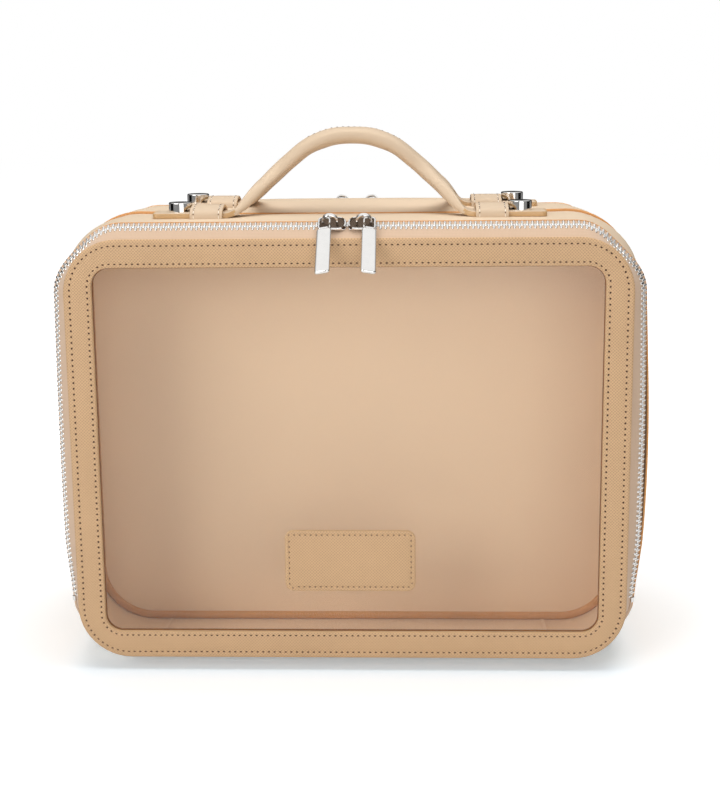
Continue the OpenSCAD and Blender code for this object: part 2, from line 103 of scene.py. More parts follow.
class Graph:
    """The nodes of a material or a world, added one at a time."""

    def __init__(self, owner: bpy.types.Material | bpy.types.World) -> None:
        """Empties the owner's nodes."""
        owner.use_nodes = True
        self.tree = owner.node_tree
        self.tree.nodes.clear()
        self.places = self.add("TexCoord").outputs
        self.place = self.places["Object"]

    def add(self, kind: str, inputs: dict | None = None, **settings: object) -> bpy.types.Node:
        """Adds a node.

        Args:
            kind: the node's type, without ShaderNode.
            inputs: for each input, by name or number, a value, a socket, or a node whose first output it takes.
            settings: the node's own properties.

        Returns:
            The node.
        """
        node = self.tree.nodes.new(f"ShaderNode{kind}")
        for key, value in settings.items():
            setattr(node, key, value)
        for key, value in (inputs or {}).items():
            if isinstance(value, bpy.types.Node):
                value = value.outputs[0]
            if isinstance(value, Socket):
                self.tree.links.new(value, node.inputs[key])
            else:
                node.inputs[key].default_value = value
        return node

    def noise(self, scale: float, detail: float = 2.0, where: Socket | None = None) -> Socket:
        """Adds smooth noise."""
        inputs = {"Vector": where or self.place, "Scale": scale, "Detail": detail}
        return self.add("TexNoise", inputs).outputs["Fac"]

    def wave(self, where: Socket, scale: float, wobble: float, axis: str = "X", detail: float = 1.0) -> Socket:
        """Adds even bands across an axis."""
        inputs = {"Vector": where, "Scale": scale, "Distortion": wobble, "Detail": detail}
        return self.add("TexWave", inputs, bands_direction=axis).outputs["Fac"]

    def turned(self, angles: Sequence[float], stretch: Sequence[float]) -> Socket:
        """Turns the coordinates, then stretches them.

        Args:
            angles: the turn about each axis, in degrees.
            stretch: the factor along each turned axis.

        Returns:
            The new coordinates.
        """
        radians = [math.radians(angle) for angle in angles]
        turn = self.add("Mapping", {"Vector": self.place, "Rotation": radians})
        return self.vector("MULTIPLY", turn, tuple(stretch)).outputs[0]

    def vector(self, operation: str, *values: object) -> bpy.types.Node:
        """Adds a sum on one or two vectors."""
        return self.add("VectorMath", dict(enumerate(values)), operation=operation)

    def math(self, operation: str, *values: Source) -> Socket:
        """Adds a sum on one to three values."""
        return self.add("Math", dict(enumerate(values)), operation=operation).outputs[0]

    def weigh(self, first: Source, share: float, second: Source, other: float) -> Socket:
        """Adds two values up, each times its weight."""
        return self.math("ADD", self.math("MULTIPLY", first, share), self.math("MULTIPLY", second, other))

    def spread(self, value: Socket, low: float, high: float) -> Socket:
        """Maps 0 to 1 onto low to high."""
        return self.add("MapRange", {0: value, 3: low, 4: high}).outputs[0]

    def ramp(self, value: Socket, start: float, end: float, low: float, high: float) -> Socket:
        """Maps start to end smoothly onto low to high."""
        inputs = dict(enumerate((value, start, end, low, high)))
        return self.add("MapRange", inputs, interpolation_type="SMOOTHSTEP").outputs[0]

    def mix(self, value: Socket, low: Colour, high: Colour) -> Socket:
        """Mixes two colours by a value from 0 to 1."""
        return self.add("Mix", {0: value, 6: (*low, 1), 7: (*high, 1)}, data_type="RGBA").outputs[2]

    def tones(self, value: Socket, colour: Colour, dark: float, light: float) -> Socket:
        """Takes a colour from a darker to a lighter tone by a value from 0 to 1."""
        return self.mix(value, shade(colour, dark), shade(colour, light))

    def bump(self, height: Socket, strength: float, depth: float) -> Socket:
        """Turns a height into a normal; depth is in metres."""
        return self.add("Bump", {"Height": height, "Strength": strength, "Distance": depth}).outputs[0]

    def blend(self, share: Source, first: bpy.types.Node, second: bpy.types.Node) -> bpy.types.Node:
        """Mixes two shaders."""
        return self.add("MixShader", {0: share, 1: first, 2: second})

    def show(self, shader: bpy.types.Node, kind: str = "Material") -> None:
        """Closes the graph with a shader."""
        self.add(f"Output{kind}", {"Surface": shader})

    def surface(self, **inputs: object) -> None:
        """Closes the graph with a principled shader; underscores stand for spaces."""
        self.show(self.add("BsdfPrincipled", {key.replace("_", " "): value for key, value in inputs.items()}))


@dataclass(frozen=True)
class Finish:
    """What every finish has: a name, a colour and the name of its slot."""

    name: str
    colour: Colour
    slot: str

    @cache
    def material(self) -> bpy.types.Material:
        """Gives the material, made on its first use."""
        made = bpy.data.materials.new(self.name)
        self.make(Graph(made))
        return made

    def make(self, graph: Graph) -> None:
        """Builds the nodes."""
        graph.surface(Base_Color=(*self.colour, 1))


@dataclass(frozen=True)
class CrosshatchLeather(Finish):
    """Leather embossed with two sets of fine slanting lines."""

    line: float = 0.00114
    depth: float = 0.00015
    roughness: float = 0.5

    def make(self, graph: Graph) -> None:
        """Builds the nodes."""
        lines = []
        for angle in (45, -45):
            streak = graph.noise(1.0, 1.0, graph.turned((0, angle, 0), (0.9 / self.line, 200, 170)))
            rib = graph.wave(graph.turned((0, angle, 0), (1, 1, 1)), BAND / self.line, 1.2)
            narrow = graph.spread(graph.math("POWER", rib, 2.0), 0.0, 1.0)
            lines.append(graph.math("MULTIPLY", graph.spread(streak, 0.7, 1.1), narrow))
        height = graph.math("MAXIMUM", *lines)
        tone = graph.weigh(height, 0.85, graph.noise(26.0, 3.0), 0.3)
        graph.surface(
            Base_Color=graph.tones(tone, self.colour, 0.77, 1.27),
            Roughness=graph.spread(graph.noise(300.0), self.roughness - 0.06, self.roughness + 0.08),
            Normal=graph.bump(height, 0.6, self.depth), Specular_IOR_Level=0.4)


@dataclass(frozen=True)
class GrainLeather(Finish):
    """Smooth leather with a fine pebble and soft creases."""

    pebble: float = 0.0009
    depth: float = 0.00005
    roughness: float = 0.48

    def make(self, graph: Graph) -> None:
        """Builds the nodes."""
        cells = graph.add("TexVoronoi", {"Vector": graph.place, "Scale": 1 / self.pebble, "Randomness": 1.0})
        height = graph.weigh(cells, 0.6, graph.noise(140.0, 4.0), 0.8)
        graph.surface(
            Base_Color=graph.tones(graph.noise(18.0, 4.0), self.colour, 0.93, 1.06),
            Roughness=graph.spread(graph.noise(260.0, 3.0), self.roughness - 0.07, self.roughness + 0.1),
            Normal=graph.bump(height, 0.55, self.depth), Specular_IOR_Level=0.4)


@dataclass(frozen=True)
class PaintedEdge(Finish):
    """The sealed cut edge of leather, with a few drips and layers."""

    roughness: float = 0.34

    def make(self, graph: Graph) -> None:
        """Builds the nodes."""
        layers = graph.noise(1.0, 2.0, graph.turned((0, 0, 0), (60, 60, 2200)))
        graph.surface(
            Base_Color=graph.tones(layers, self.colour, 0.82, 1.12),
            Roughness=graph.spread(graph.noise(400.0), self.roughness - 0.06, self.roughness + 0.1),
            Normal=graph.bump(graph.noise(900.0, 3.0), 0.4, 0.00008))


@dataclass(frozen=True)
class Cloth(Finish):
    """Cloth woven of sets of threads that cross."""

    thread: float = 0.0005
    depth: float = 0.00015
    contrast: float = 0.1
    sheen: float = 0.25

    def make(self, graph: Graph) -> None:
        """Builds the nodes."""
        threads = []
        for axis in "XYZ":
            stretch = [1800.0 if letter == axis else 60.0 for letter in "XYZ"]
            slub = graph.noise(1.0, 2.0, graph.turned((0, 0, 0), stretch))
            wave = graph.wave(graph.place, BAND / self.thread, 0.25, axis)
            threads.append(graph.math("MULTIPLY", wave, graph.spread(slub, 0.2, 0.5)))
        height = graph.math("ADD", graph.math("ADD", threads[0], threads[1]), threads[2])
        tone = graph.weigh(height, 0.8, graph.noise(22.0), 0.25)
        graph.surface(
            Base_Color=graph.tones(tone, self.colour, 1 - self.contrast, 1 + self.contrast), Roughness=0.86,
            Normal=graph.bump(height, 0.5, self.depth), Sheen_Weight=self.sheen, Specular_IOR_Level=0.25)


@dataclass(frozen=True)
class PolishedNickel(Finish):
    """Bright plated metal with faint wiping marks."""

    roughness: float = 0.07

    def make(self, graph: Graph) -> None:
        """Builds the nodes."""
        marks = graph.noise(1.0, 3.0, graph.turned((20, 35, 10), (2600, 300, 300)))
        graph.surface(
            Base_Color=graph.tones(graph.noise(180.0), self.colour, 0.95, 1.04), Metallic=1.0,
            Roughness=graph.spread(marks, self.roughness * 0.6, self.roughness * 1.7),
            Normal=graph.bump(marks, 0.12, 0.00002))


@dataclass(frozen=True)
class ClearSheet(Finish):
    """Clear soft sheet: mostly what is behind it, with a slight tint and gloss."""

    haze: float = 0.035

    def make(self, graph: Graph) -> None:
        """Builds the nodes; the sheet's far face stays clear, so that it counts once."""
        normal = graph.bump(graph.noise(14.0, 1.0), 0.4, 0.001)
        tint = graph.tones(graph.noise(9.0), self.colour, 0.985, 1.0)
        through = graph.add("BsdfTransparent", {"Color": tint})
        gloss = graph.add("BsdfGlossy", {"Roughness": 0.16, "Normal": normal})
        milk = graph.add("BsdfDiffuse", {"Color": (0.95, 0.93, 0.9, 1), "Normal": normal})
        edge = graph.add("Fresnel", {"IOR": 1.48, "Normal": normal})
        near = graph.blend(edge, graph.blend(self.haze, through, milk), gloss)
        far = graph.add("BsdfTransparent", {"Color": (1, 1, 1, 1)})
        graph.show(graph.blend(graph.add("NewGeometry").outputs["Backfacing"], near, far))


@dataclass(frozen=True)
class Thread(Finish):
    """Sewing thread with its twist."""

    def make(self, graph: Graph) -> None:
        """Builds the nodes."""
        twist = graph.wave(graph.turned((35, 35, 35), (1, 1, 1)), 900.0, 1.0, detail=2.0)
        colour = graph.tones(twist, self.colour, 0.8, 1.1)
        graph.surface(Base_Color=colour, Roughness=0.7, Normal=graph.bump(twist, 0.5, 0.0001))


FRAME_LEATHER = CrosshatchLeather("frame_leather", srgb(190, 155, 117), "frame_leather")
BODY_LEATHER = GrainLeather("body_leather", srgb(225, 202, 174), "body_leather")
STRAP_LEATHER = GrainLeather("strap_leather", srgb(208, 185, 158), "strap_leather", pebble=0.0007, depth=0.00003)
PIPING_LEATHER = GrainLeather("piping_leather", srgb(206, 146, 88), "piping_leather")
HINGE_LEATHER = GrainLeather("hinge_leather", srgb(205, 172, 136), "hinge_leather")
STRAP_EDGE = PaintedEdge("strap_edge", srgb(200, 164, 118), "strap_leather")
FRAME_EDGE = PaintedEdge("frame_edge", srgb(206, 170, 128), "frame_leather")
LIP_EDGE = Cloth("lip_braid", srgb(214, 156, 98), "body_leather", thread=0.0009, contrast=0.3)
# Dark brown window trim: where its edge shows round the window it is painted shade for the shadow there.
TRIM_PAINTED_SHADE = Cloth("window_trim_painted_shade", srgb(150, 98, 52), "lining", contrast=0.12)
ZIP_TAPE = Cloth("zip_tape", srgb(203, 174, 148), "tape", thread=0.0007, depth=0.0002)
LINING = Cloth("lining_cloth", srgb(235, 206, 173), "lining", thread=0.0008, contrast=0.05, depth=0.00004)
BINDING = Cloth("binding_braid", srgb(206, 150, 92), "binding", thread=0.0007, contrast=0.14)
NICKEL = PolishedNickel("nickel", (0.83, 0.82, 0.8), "nickel")
# Near-black nickel for the sliders' plate recesses: painted shade under the crown and the pull's ring.
NICKEL_PAINTED_SHADE = PolishedNickel("nickel_painted_shade", (0.12, 0.085, 0.06), "nickel", roughness=0.25)
CLEAR = ClearSheet("clear_sheet", (0.985, 0.975, 0.96), "clear_panel")
TAN_THREAD = Thread("tan_thread", srgb(212, 176, 134), "frame_leather")
# Near-white thread; on the middle seam its pale colour also stands for the highlights along the seam, a painted
# highlight.
PALE_THREAD_AND_HIGHLIGHT = Thread("pale_thread_and_highlight", srgb(252, 244, 232), "body_leather")
# Near-black blobs at the needle holes: painted shade for the recess of each hole.
NEEDLE_HOLE_SHADE = Thread("needle_hole_shade", srgb(70, 36, 12), "frame_leather")


# ---- making and placing pieces ----


class Side(Enum):
    """The two faces of the case: the turn from the front about the upright axis, and the name."""

    FRONT = (0, "front")
    REAR = (180, "rear")

    @property
    def word(self) -> str:
        """The side's name in node names."""
        return self.value[1]

    @property
    def turn(self) -> Matrix:
        """The turn from the front to this side."""
        return rotated(self.value[0], "Z")


class Quarter(Enum):
    """The four corners in plan: the sign along X and Y from the front right one, and the name."""

    FRONT_RIGHT = (1, 1, "front_right")
    FRONT_LEFT = (-1, 1, "front_left")
    REAR_RIGHT = (1, -1, "rear_right")
    REAR_LEFT = (-1, -1, "rear_left")

    @property
    def word(self) -> str:
        """The corner's name in node names."""
        return self.value[2]

    @property
    def flip(self) -> Matrix:
        """The mirroring from the front right corner to this one."""
        return sized(self.value[0], self.value[1], 1)


def link(name: str, data: bpy.types.ID) -> bpy.types.Object:
    """Puts an object into the scene."""
    thing = bpy.data.objects.new(name, data)
    bpy.context.scene.collection.objects.link(thing)
    return thing


@dataclass
class Piece:
    """A mesh on its way to becoming an object of the scene, in millimetres until it is finished."""

    name: str
    mesh: bmesh.types.BMesh = field(default_factory=bmesh.new)
    sharp: float = 38.0

    def apply(self, matrix: Matrix) -> "Piece":
        """Moves the whole mesh, keeping its faces outward."""
        bmesh.ops.transform(self.mesh, matrix=matrix, verts=self.mesh.verts)
        if matrix.determinant() < 0:
            bmesh.ops.reverse_faces(self.mesh, faces=self.mesh.faces)
        return self

    def close(self) -> "Piece":
        """Merges doubled points and turns the faces outward."""
        bmesh.ops.remove_doubles(self.mesh, verts=self.mesh.verts, dist=MERGE)
        bmesh.ops.recalc_face_normals(self.mesh, faces=self.mesh.faces)
        return self

    def cap(self) -> list[bmesh.types.BMFace]:
        """Merges doubled points, fills the open rims and gives the new faces."""
        bmesh.ops.remove_doubles(self.mesh, verts=self.mesh.verts, dist=MERGE)
        rim = [edge for edge in self.mesh.edges if edge.is_boundary]
        return bmesh.ops.holes_fill(self.mesh, edges=rim, sides=0)["faces"]

    def mark(self, test: Callable[[bmesh.types.BMFace], bool]) -> None:
        """Gives the second finish to the faces that pass a test."""
        for face in filter(test, self.mesh.faces):
            face.material_index = 1

    def skin(self, columns: int, rows: int, place: Callable[[int, int], Sequence[float]]) -> None:
        """Adds a grid of faces.

        Args:
            columns: the faces in a row.
            rows: the rows.
            place: gives the point at a column and a row.
        """
        made = bmesh.ops.create_grid(self.mesh, x_segments=columns, y_segments=rows, size=1.0)
        for vertex in made["verts"]:
            vertex.co = place(*(round((v + 1) / 2 * n) for v, n in zip(vertex.co.xy, (columns, rows))))

    def block(self, centre: Sequence[float], size: Sequence[float], bevel: float = 0.3, steps: int = 3,
              lean: Matrix = Matrix()) -> None:
        """Adds a block with rounded edges.

        Args:
            centre: its middle.
            size: its three sizes.
            bevel: the rounding.
            steps: the steps of the rounding.
            lean: its turn.
        """
        made = bmesh.ops.create_cube(self.mesh, size=1.0, matrix=moved(*centre) @ lean @ sized(*size))
        edges = list(dict.fromkeys(edge for vertex in made["verts"] for edge in vertex.link_edges))
        bmesh.ops.bevel(
            self.mesh, geom=edges, offset=bevel, segments=steps, profile=0.5, affect="EDGES", material=-1)

    def add(self, part: "Piece", places: Iterable[Matrix] = (Matrix(),)) -> None:
        """Adds a copy of another piece at each place, and uses the other up."""
        data = bpy.data.meshes.new(part.name)
        part.mesh.to_mesh(data)
        part.mesh.free()
        for place in places:
            copy = data.copy()
            copy.transform(place)
            self.mesh.from_mesh(copy)
            bpy.data.meshes.remove(copy)
        bpy.data.meshes.remove(data)

    def finish(self, finishes: Sequence[Finish], body: str | None, *nodes: str) -> bpy.types.Object:
        """Makes the object and ties it to the frame.

        Args:
            finishes: the finishes, in the order of the faces' material numbers.
            body: the body it rides on, or None to tie it to no body.
            nodes: the nodes that it stands for.

        Returns:
            The object.
        """
        bmesh.ops.scale(self.mesh, vec=(MM, MM, MM), verts=self.mesh.verts)
        data = bpy.data.meshes.new(self.name)
        self.mesh.to_mesh(data)
        self.mesh.free()
        for finish in finishes:
            data.materials.append(finish.material())
        data.polygons.foreach_set("use_smooth", [True] * len(data.polygons))
        data.set_sharp_from_angle(angle=math.radians(self.sharp))
        thing = link(self.name, data)
        if body:
            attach(thing, body)
        if nodes:
            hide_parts(*nodes)
        LOG.info("%s: %d faces", self.name, len(data.polygons))
        return thing


def dress(node: str, finish: Finish) -> None:
    """Gives a node of the frame its finish.

    Args:
        node: the node's name.
        finish: the finish.
    """
    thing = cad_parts[node]
    if not thing.data.materials:
        thing.data.materials.append(finish.material())
    for slot in thing.material_slots:
        slot.material = finish.material()
    LOG.info("%s: %s", node, finish.name)


def paces(runs: Sequence[float], count: int, shift: float) -> list[tuple[int, float]]:
    """Spreads places evenly over a chain of runs.

    Args:
        runs: the runs' lengths.
        count: how many places.
        shift: the share of their distance at which they start.

    Returns:
        For each place, the number of its run and the way along it.
    """
    places = []
    for index in range(count):
        left, number = (index + shift) * sum(runs) / count, 0
        while left > runs[number]:
            left -= runs[number]
            number += 1
        places.append((number, left))
    return places


@dataclass(frozen=True)
class RoundRect:
    """A rectangle with round corners about the middle of a lid; x to the right, y up, z outward."""

    half_w: float
    half_h: float
    radius: float

    def grown(self, by: float) -> "RoundRect":
        """Gives the outline moved outward."""
        return RoundRect(self.half_w + by, self.half_h + by, self.radius + by)

    def toward(self, other: "RoundRect", share: float) -> "RoundRect":
        """Gives the outline part of the way to another."""
        pairs = ((self.half_w, other.half_w), (self.half_h, other.half_h), (self.radius, other.radius))
        return RoundRect(*(a + (b - a) * share for a, b in pairs))

    def stage(self, number: int) -> tuple[Vector, float, float]:
        """Gives a stage of the way round, from the lower right corner anticlockwise.

        Args:
            number: 0 to 7; even ones are corners and odd ones the sides that follow.

        Returns:
            The corner's centre, the direction at its start in radians, and the run of its side.
        """
        corner = number // 2 % 4
        x, y = self.half_w - self.radius, self.half_h - self.radius
        centre = Vector(((x, -y, 0), (x, y, 0), (-x, y, 0), (-x, -y, 0))[corner])
        start = math.radians(-90 + 90 * corner + (90 if number % 2 else 0))
        return centre, start, 2 * (x if corner % 2 else y)

    def trace(self, piece: Piece, profile: Sequence[Pair], first: int = 0, count: int = 8,
              steps: int = 12, side_steps: int = 1) -> None:
        """Sweeps a closed profile round the outline.

        Args:
            piece: the piece that gets the faces.
            profile: points of (outward offset, depth).
            first: the first stage.
            count: how many stages.
            steps: the steps in each corner.
            side_steps: the steps along each side.
        """
        mesh = piece.mesh
        centre, start, _ = self.stage(first)
        points = [mesh.verts.new(centre + ray(start) * (self.radius + o) + Vector((0, 0, z))) for o, z in profile]
        geometry = points + [mesh.edges.new(pair) for pair in zip(points, points[1:] + points[:1])]
        for number in range(first, first + count):
            centre, start, run = self.stage(number)
            turn = {"angle": math.pi / 2, "dvec": Vector(), "steps": steps}
            if number % 2:
                turn = {"angle": 0.0, "dvec": ray(start + math.pi / 2) * (run / side_steps), "steps": side_steps}
            spun = bmesh.ops.spin(mesh, geom=geometry, cent=centre, axis=(0, 0, 1), use_merge=False, **turn)
            geometry = spun["geom_last"]

    def at(self, column: int, steps: int) -> Vector:
        """Gives a numbered point of the outline.

        Args:
            column: its number, from the lower right corner anticlockwise.
            steps: the steps in each corner; each side is one more step.

        Returns:
            The point.
        """
        corner, step = divmod(column, steps + 1)
        centre, start, _ = self.stage(2 * corner % 8)
        return centre + ray(start + math.pi / 2 * step / steps) * self.radius

    def walk(self, pitch: float, shift: float = 0.5) -> list[tuple[Vector, float]]:
        """Gives evenly spaced places round the outline.

        Args:
            pitch: the wanted distance between them.
            shift: the share of the distance at which they start.

        Returns:
            Each place, and the direction of the outline there in radians.
        """
        runs = [self.stage(number)[2] if number % 2 else self.radius * math.pi / 2 for number in range(8)]
        places = []
        for number, left in paces(runs, round(sum(runs) / pitch), shift):
            centre, start, _ = self.stage(number)
            angle, slide = (start, left) if number % 2 else (start + left / self.radius, 0.0)
            ahead = angle + math.pi / 2
            places.append((centre + ray(angle) * self.radius + ray(ahead) * slide, ahead))
        return places


@dataclass
class Seam:
    """A row of stitches: threads between needle holes, the holes drawn as near-black blobs of painted shade."""

    pitch: float = 3.0
    width: float = 0.55
    hole: float = 1.5

    def sew(self, threads: Piece, holes: Piece | None, places: Iterable[Matrix]) -> None:
        """Sews a stitch and its hole at each place.

        Args:
            threads: the piece that gets the threads.
            holes: the piece that gets the needle holes, if they show.
            places: a frame for each stitch, X along the row and Z out of the leather.
        """
        length = self.pitch - self.hole * 0.75
        thread = sized(length / 2, self.width / 2, self.width * 0.27)
        # Each hole is a small blob in the near-black hole finish: painted shade for the recess of the needle hole.
        hole = moved(self.pitch / 2, 0, 0) @ sized(self.hole / 2, self.width * 0.8, self.width * 0.5)
        for place in places:
            for piece, shape in ((threads, thread), (holes, hole)):
                if piece:
                    bmesh.ops.create_icosphere(piece.mesh, subdivisions=1, radius=1.0, matrix=place @ shape)


def stitch_frames(places: Iterable[tuple[Vector, float]], depth: float) -> list[Matrix]:
    """Turns places on an outline into frames for stitches at a depth."""
    return [moved(spot.x, spot.y, depth) @ Matrix.Rotation(angle, 4, "Z") for spot, angle in places]


def loft(piece: Piece, rings: Sequence[tuple[RoundRect, float]], steps: int = 10, closed: bool = False) -> Piece:
    """Draws a skin over round-cornered outlines, each at its depth.

    Args:
        piece: the piece that gets the skin.
        rings: the outlines and their depths, in order.
        steps: the steps in each corner.
        closed: whether the last outline joins the first; otherwise both are filled.

    Returns:
        The piece, closed.
    """
    columns = 4 * (steps + 1)

    def place(column: int, row: int) -> Vector:
        """Gives a point of the skin."""
        outline, depth = rings[row % len(rings)]
        return outline.at(column % columns, steps) + Vector((0, 0, depth))

    piece.skin(columns, len(rings) if closed else len(rings) - 1, place)
    if not closed:
        piece.cap()
    return piece.close()


# ---- the case ----


@dataclass
class Layout:
    """The sizes that the sub-assemblies share, in millimetres."""

    lid: RoundRect = RoundRect(145.0, 111.5, 28.0)
    window: RoundRect = RoundRect(130.5, 97.0, 9.0)
    window_lap: float = 5.9
    shell_o: float = 7.253
    lining_in: float = 4.253
    chain_o: float = 5.025
    chain_f: float = 63.7
    slope: float = 36.0
    lid_back: float = 71.297
    lid_front: float = 73.497
    lip_end: float = 60.389
    seam_dip: float = 1.3
    draw_right: float = 4.0
    draw_left: float = 3.4
    draw_low: float = 4.4
    tuck: float = 2.4
    swell_right: float = 1.3
    swell_left: float = 0.9

    @property
    def mid_z(self) -> float:
        """The height of a lid's middle."""
        return self.lid.half_h + self.shell_o

    @property
    def top_z(self) -> float:
        """The height of the body's flat top."""
        return 2 * self.mid_z

    @property
    def border(self) -> float:
        """The width of a lid's leather border."""
        return self.lid.half_w - self.window.half_w

    def upright(self, side: Side = Side.FRONT) -> Matrix:
        """Stands a mesh drawn on a lid's plane up at that side."""
        return side.turn @ (moved(0, 0, self.mid_z) @ rotated(90, "X"))

    def on_band(self, along: float, out: float) -> Pair:
        """Gives (offset, depth) of a place on the sloping zip band, from the middle of the chain."""
        sine, cosine = math.sin(math.radians(self.slope)), math.cos(math.radians(self.slope))
        return self.chain_o + along * sine + out * cosine, self.chain_f - along * cosine + out * sine

    def settle(self, piece: Piece, extra: float = 0.0, top: float = 0.0, dip: float = 0.0) -> Piece:
        """Draws the soft band in at its corners and bottom edge, and lets its sides swell.

        Args:
            piece: the piece, still on the lid's plane.
            extra: how much more the leather swells at the right side.
            top: how much the middle of the top swells.
            dip: how far the middle seam sinks along the top.

        Returns:
            The piece.
        """
        x0, y0 = self.lid.half_w - self.lid.radius, self.lid.half_h - self.lid.radius
        for vertex in piece.mesh.verts:
            x, y, depth = vertex.co
            over = Vector((max(abs(x) - x0, 0.0), max(abs(y) - y0, 0.0)))
            offset = over.length - self.lid.radius
            if offset < 0.01:
                continue
            turn = math.degrees(math.atan2(over.y, over.x))
            if y > 0:
                corner = self.draw_right if x > 0 else self.draw_left
                draw = corner * math.sin(math.radians(2 * turn)) ** 2 * ease((depth - 30) / 26)
            else:
                low = self.draw_low * ease(turn / 42) + self.tuck * ease((-y - 45) / 40)
                draw = low * ease((depth - 43) / 15)
            side = ease(1.0 - turn / 30) * max(1 - (y / 100) ** 2, 0.0) ** 2 * ease((depth - 15) / 30)
            swell = side * (self.swell_right + extra if x > 0 else self.swell_left)
            if y > 0 and turn > 60:
                hump = math.sin(math.pi * min(depth / 60, 1.0) ** 2) ** 2
                swell += max(1 - (x / 112) ** 4, 0.0) * (top * hump - dip * (1 - ease(depth / 14)))
            away = Vector((math.copysign(over.x, x), math.copysign(over.y, y))).normalized()
            vertex.co.xy += away * ((swell - draw) * min(offset / 4, 1.0))
        return piece

    def chain(self) -> Matrix:
        """Puts a mesh drawn as (along, up the band, out of the band) on the front's top chain."""
        lift = moved(0, self.lid.half_h + self.chain_o, self.chain_f)
        return self.upright() @ lift @ rotated(self.slope - 90, "X")


@dataclass
class Body:
    """The padded leather body with its piping, lining, divider and bindings."""

    plan: Layout
    puff: float = 0.5
    wall_in: float = 5.053
    wall_end: float = 54.389
    divider_t: float = 2.0
    floor_seam: float = 107.0
    crease: float = 3.1
    lip_bead: float = 1.5
    seam: Seam = field(default_factory=lambda: Seam(pitch=2.7, width=0.55))

    def build(self) -> None:
        """Makes and dresses the body."""
        for side in Side:
            self.shell(side)
            self.lining(side)
            self.binding(side)
        self.piping()
        self.divider()

    def shell(self, side: Side) -> None:
        """Makes one padded leather band and the stitches beside its seam."""
        edge, end = self.plan.shell_o, self.plan.lip_end
        corner = [(edge - 1.2 + 1.2 * math.sin(a), 1.65 - 1.2 * math.cos(a)) for a in (0.0, 0.4, 0.8, 1.2, math.pi / 2)]
        groove = [(edge + 0.02, 2.4), (edge - 0.16, self.crease), (edge + 0.02, 3.8)]
        swell = [
            (edge + 0.05 + self.puff * math.sin(math.pi * t), 4.0 + 49.0 * t) for t in (0.05, 0.2, 0.4, 0.6, 0.8, 0.95)
        ]
        lip = [
            (edge - 0.12, 55.0), (edge + 0.02, 56.0), (edge, end - 1.8), (edge - 0.2, end - self.lip_bead),
            (edge + 0.15, end - 1.1), (edge + 0.3, end - 0.6), (edge + 0.12, end - 0.12), (edge - 0.3, end),
            (edge - 0.68, end - 0.15), (edge - 0.8, end - 0.5), (edge - 0.8, self.wall_end),
        ]
        wall = [(self.wall_in, self.wall_end), (self.wall_in, 0.45)]
        piece = Piece(f"{side.word}_body_leather")
        self.plan.lid.trace(piece, [*corner, *groove, *swell, *lip, *wall], steps=14, side_steps=16)
        piece.close().mark(lambda face: face.calc_center_median().z > end - self.lip_bead)
        extra, top = (2.0, 0.3) if side is Side.FRONT else (0.8, 4.4)
        self.plan.settle(piece, extra, top, self.plan.seam_dip).apply(self.plan.upright(side))
        piece.finish([BODY_LEATHER, LIP_EDGE], "case", f"{side.word}_shell")
        # Near-white stitches beside the seam: real stitching whose pale colour also paints the highlights along the
        # seam.
        threads = Piece(f"{side.word}_seam_thread")
        places = self.plan.lid.grown(edge - 0.16).walk(self.seam.pitch)
        self.seam.sew(threads, None, [frame @ rotated(90, "X") for frame in stitch_frames(places, self.crease)])
        self.plan.settle(threads, dip=self.plan.seam_dip).apply(self.plan.upright(side)).finish([PALE_THREAD_AND_HIGHLIGHT], "case")

    def piping(self) -> None:
        """Makes the cord round the middle seam, pressed flat where the case stands."""
        piece = Piece("seam_cord")
        middle = self.plan.shell_o + 0.3
        ring = [(middle + math.cos(a), math.sin(a)) for a in (math.tau * i / 12 for i in range(12))]
        self.plan.lid.trace(piece, ring, steps=14, side_steps=16)
        self.plan.settle(piece.close(), dip=self.plan.seam_dip).apply(self.plan.upright())
        for vertex in piece.mesh.verts:
            vertex.co.z = max(vertex.co.z, 0.02)
        piece.finish([PIPING_LEATHER], "case", "seam_piping")

    def lining(self, side: Side) -> None:
        """Makes the cloth lining with the two seams that cross its floor."""
        inner, wall = self.plan.lining_in, self.wall_in - 0.02
        profile = [(inner, 1.0), (inner - 0.15, 20.0), (inner, 40.0), (inner - 0.1, 57.9), (inner + 0.3, 58.389),
                   (wall, 58.2), (wall, 1.0)]
        piece = Piece(f"{side.word}_lining_cloth")
        self.plan.lid.trace(piece, profile, steps=14, side_steps=8)
        for x in (-self.floor_seam, self.floor_seam):
            piece.block((x, 0.2 - self.plan.lid.half_h - inner, 29.5), (2.2, 0.7, 56.0), 0.25, 2)
        self.plan.settle(piece.close()).apply(self.plan.upright(side))
        cloth = piece.finish([LINING], "case", f"{side.word}_lining")

    def divider(self) -> None:
        """Makes the padded central divider."""
        outline = self.plan.lid.grown(self.plan.lining_in - 0.02)
        half = self.divider_t / 2
        rings = [(0.0, half), (1.0, half), (5.0, half + 0.12), (16.0, half + 0.3), (31.0, half + 0.38)]
        back = [(outline.grown(-inset), -depth) for inset, depth in rings]
        piece = loft(Piece("divider_cloth"), back[::-1] + [(outline.grown(-inset), depth) for inset, depth in rings])
        piece.apply(self.plan.upright()).finish([LINING], "case", "divider_panel")

    def binding(self, side: Side) -> None:
        """Makes the braid that covers the divider's edge on one side."""
        piece = Piece(f"{side.word}_binding_braid")
        outer, low = self.plan.lining_in - 0.05, self.divider_t / 2
        bow = [(outer - 2.3 + 2.3 * math.cos(a), low + 1.7 * math.sin(a)) for a in (math.pi * i / 8 for i in range(9))]
        self.plan.lid.trace(piece, bow, steps=14)
        piece.close().apply(self.plan.upright(side)).finish([BINDING], "case", f"{side.word}_binding")


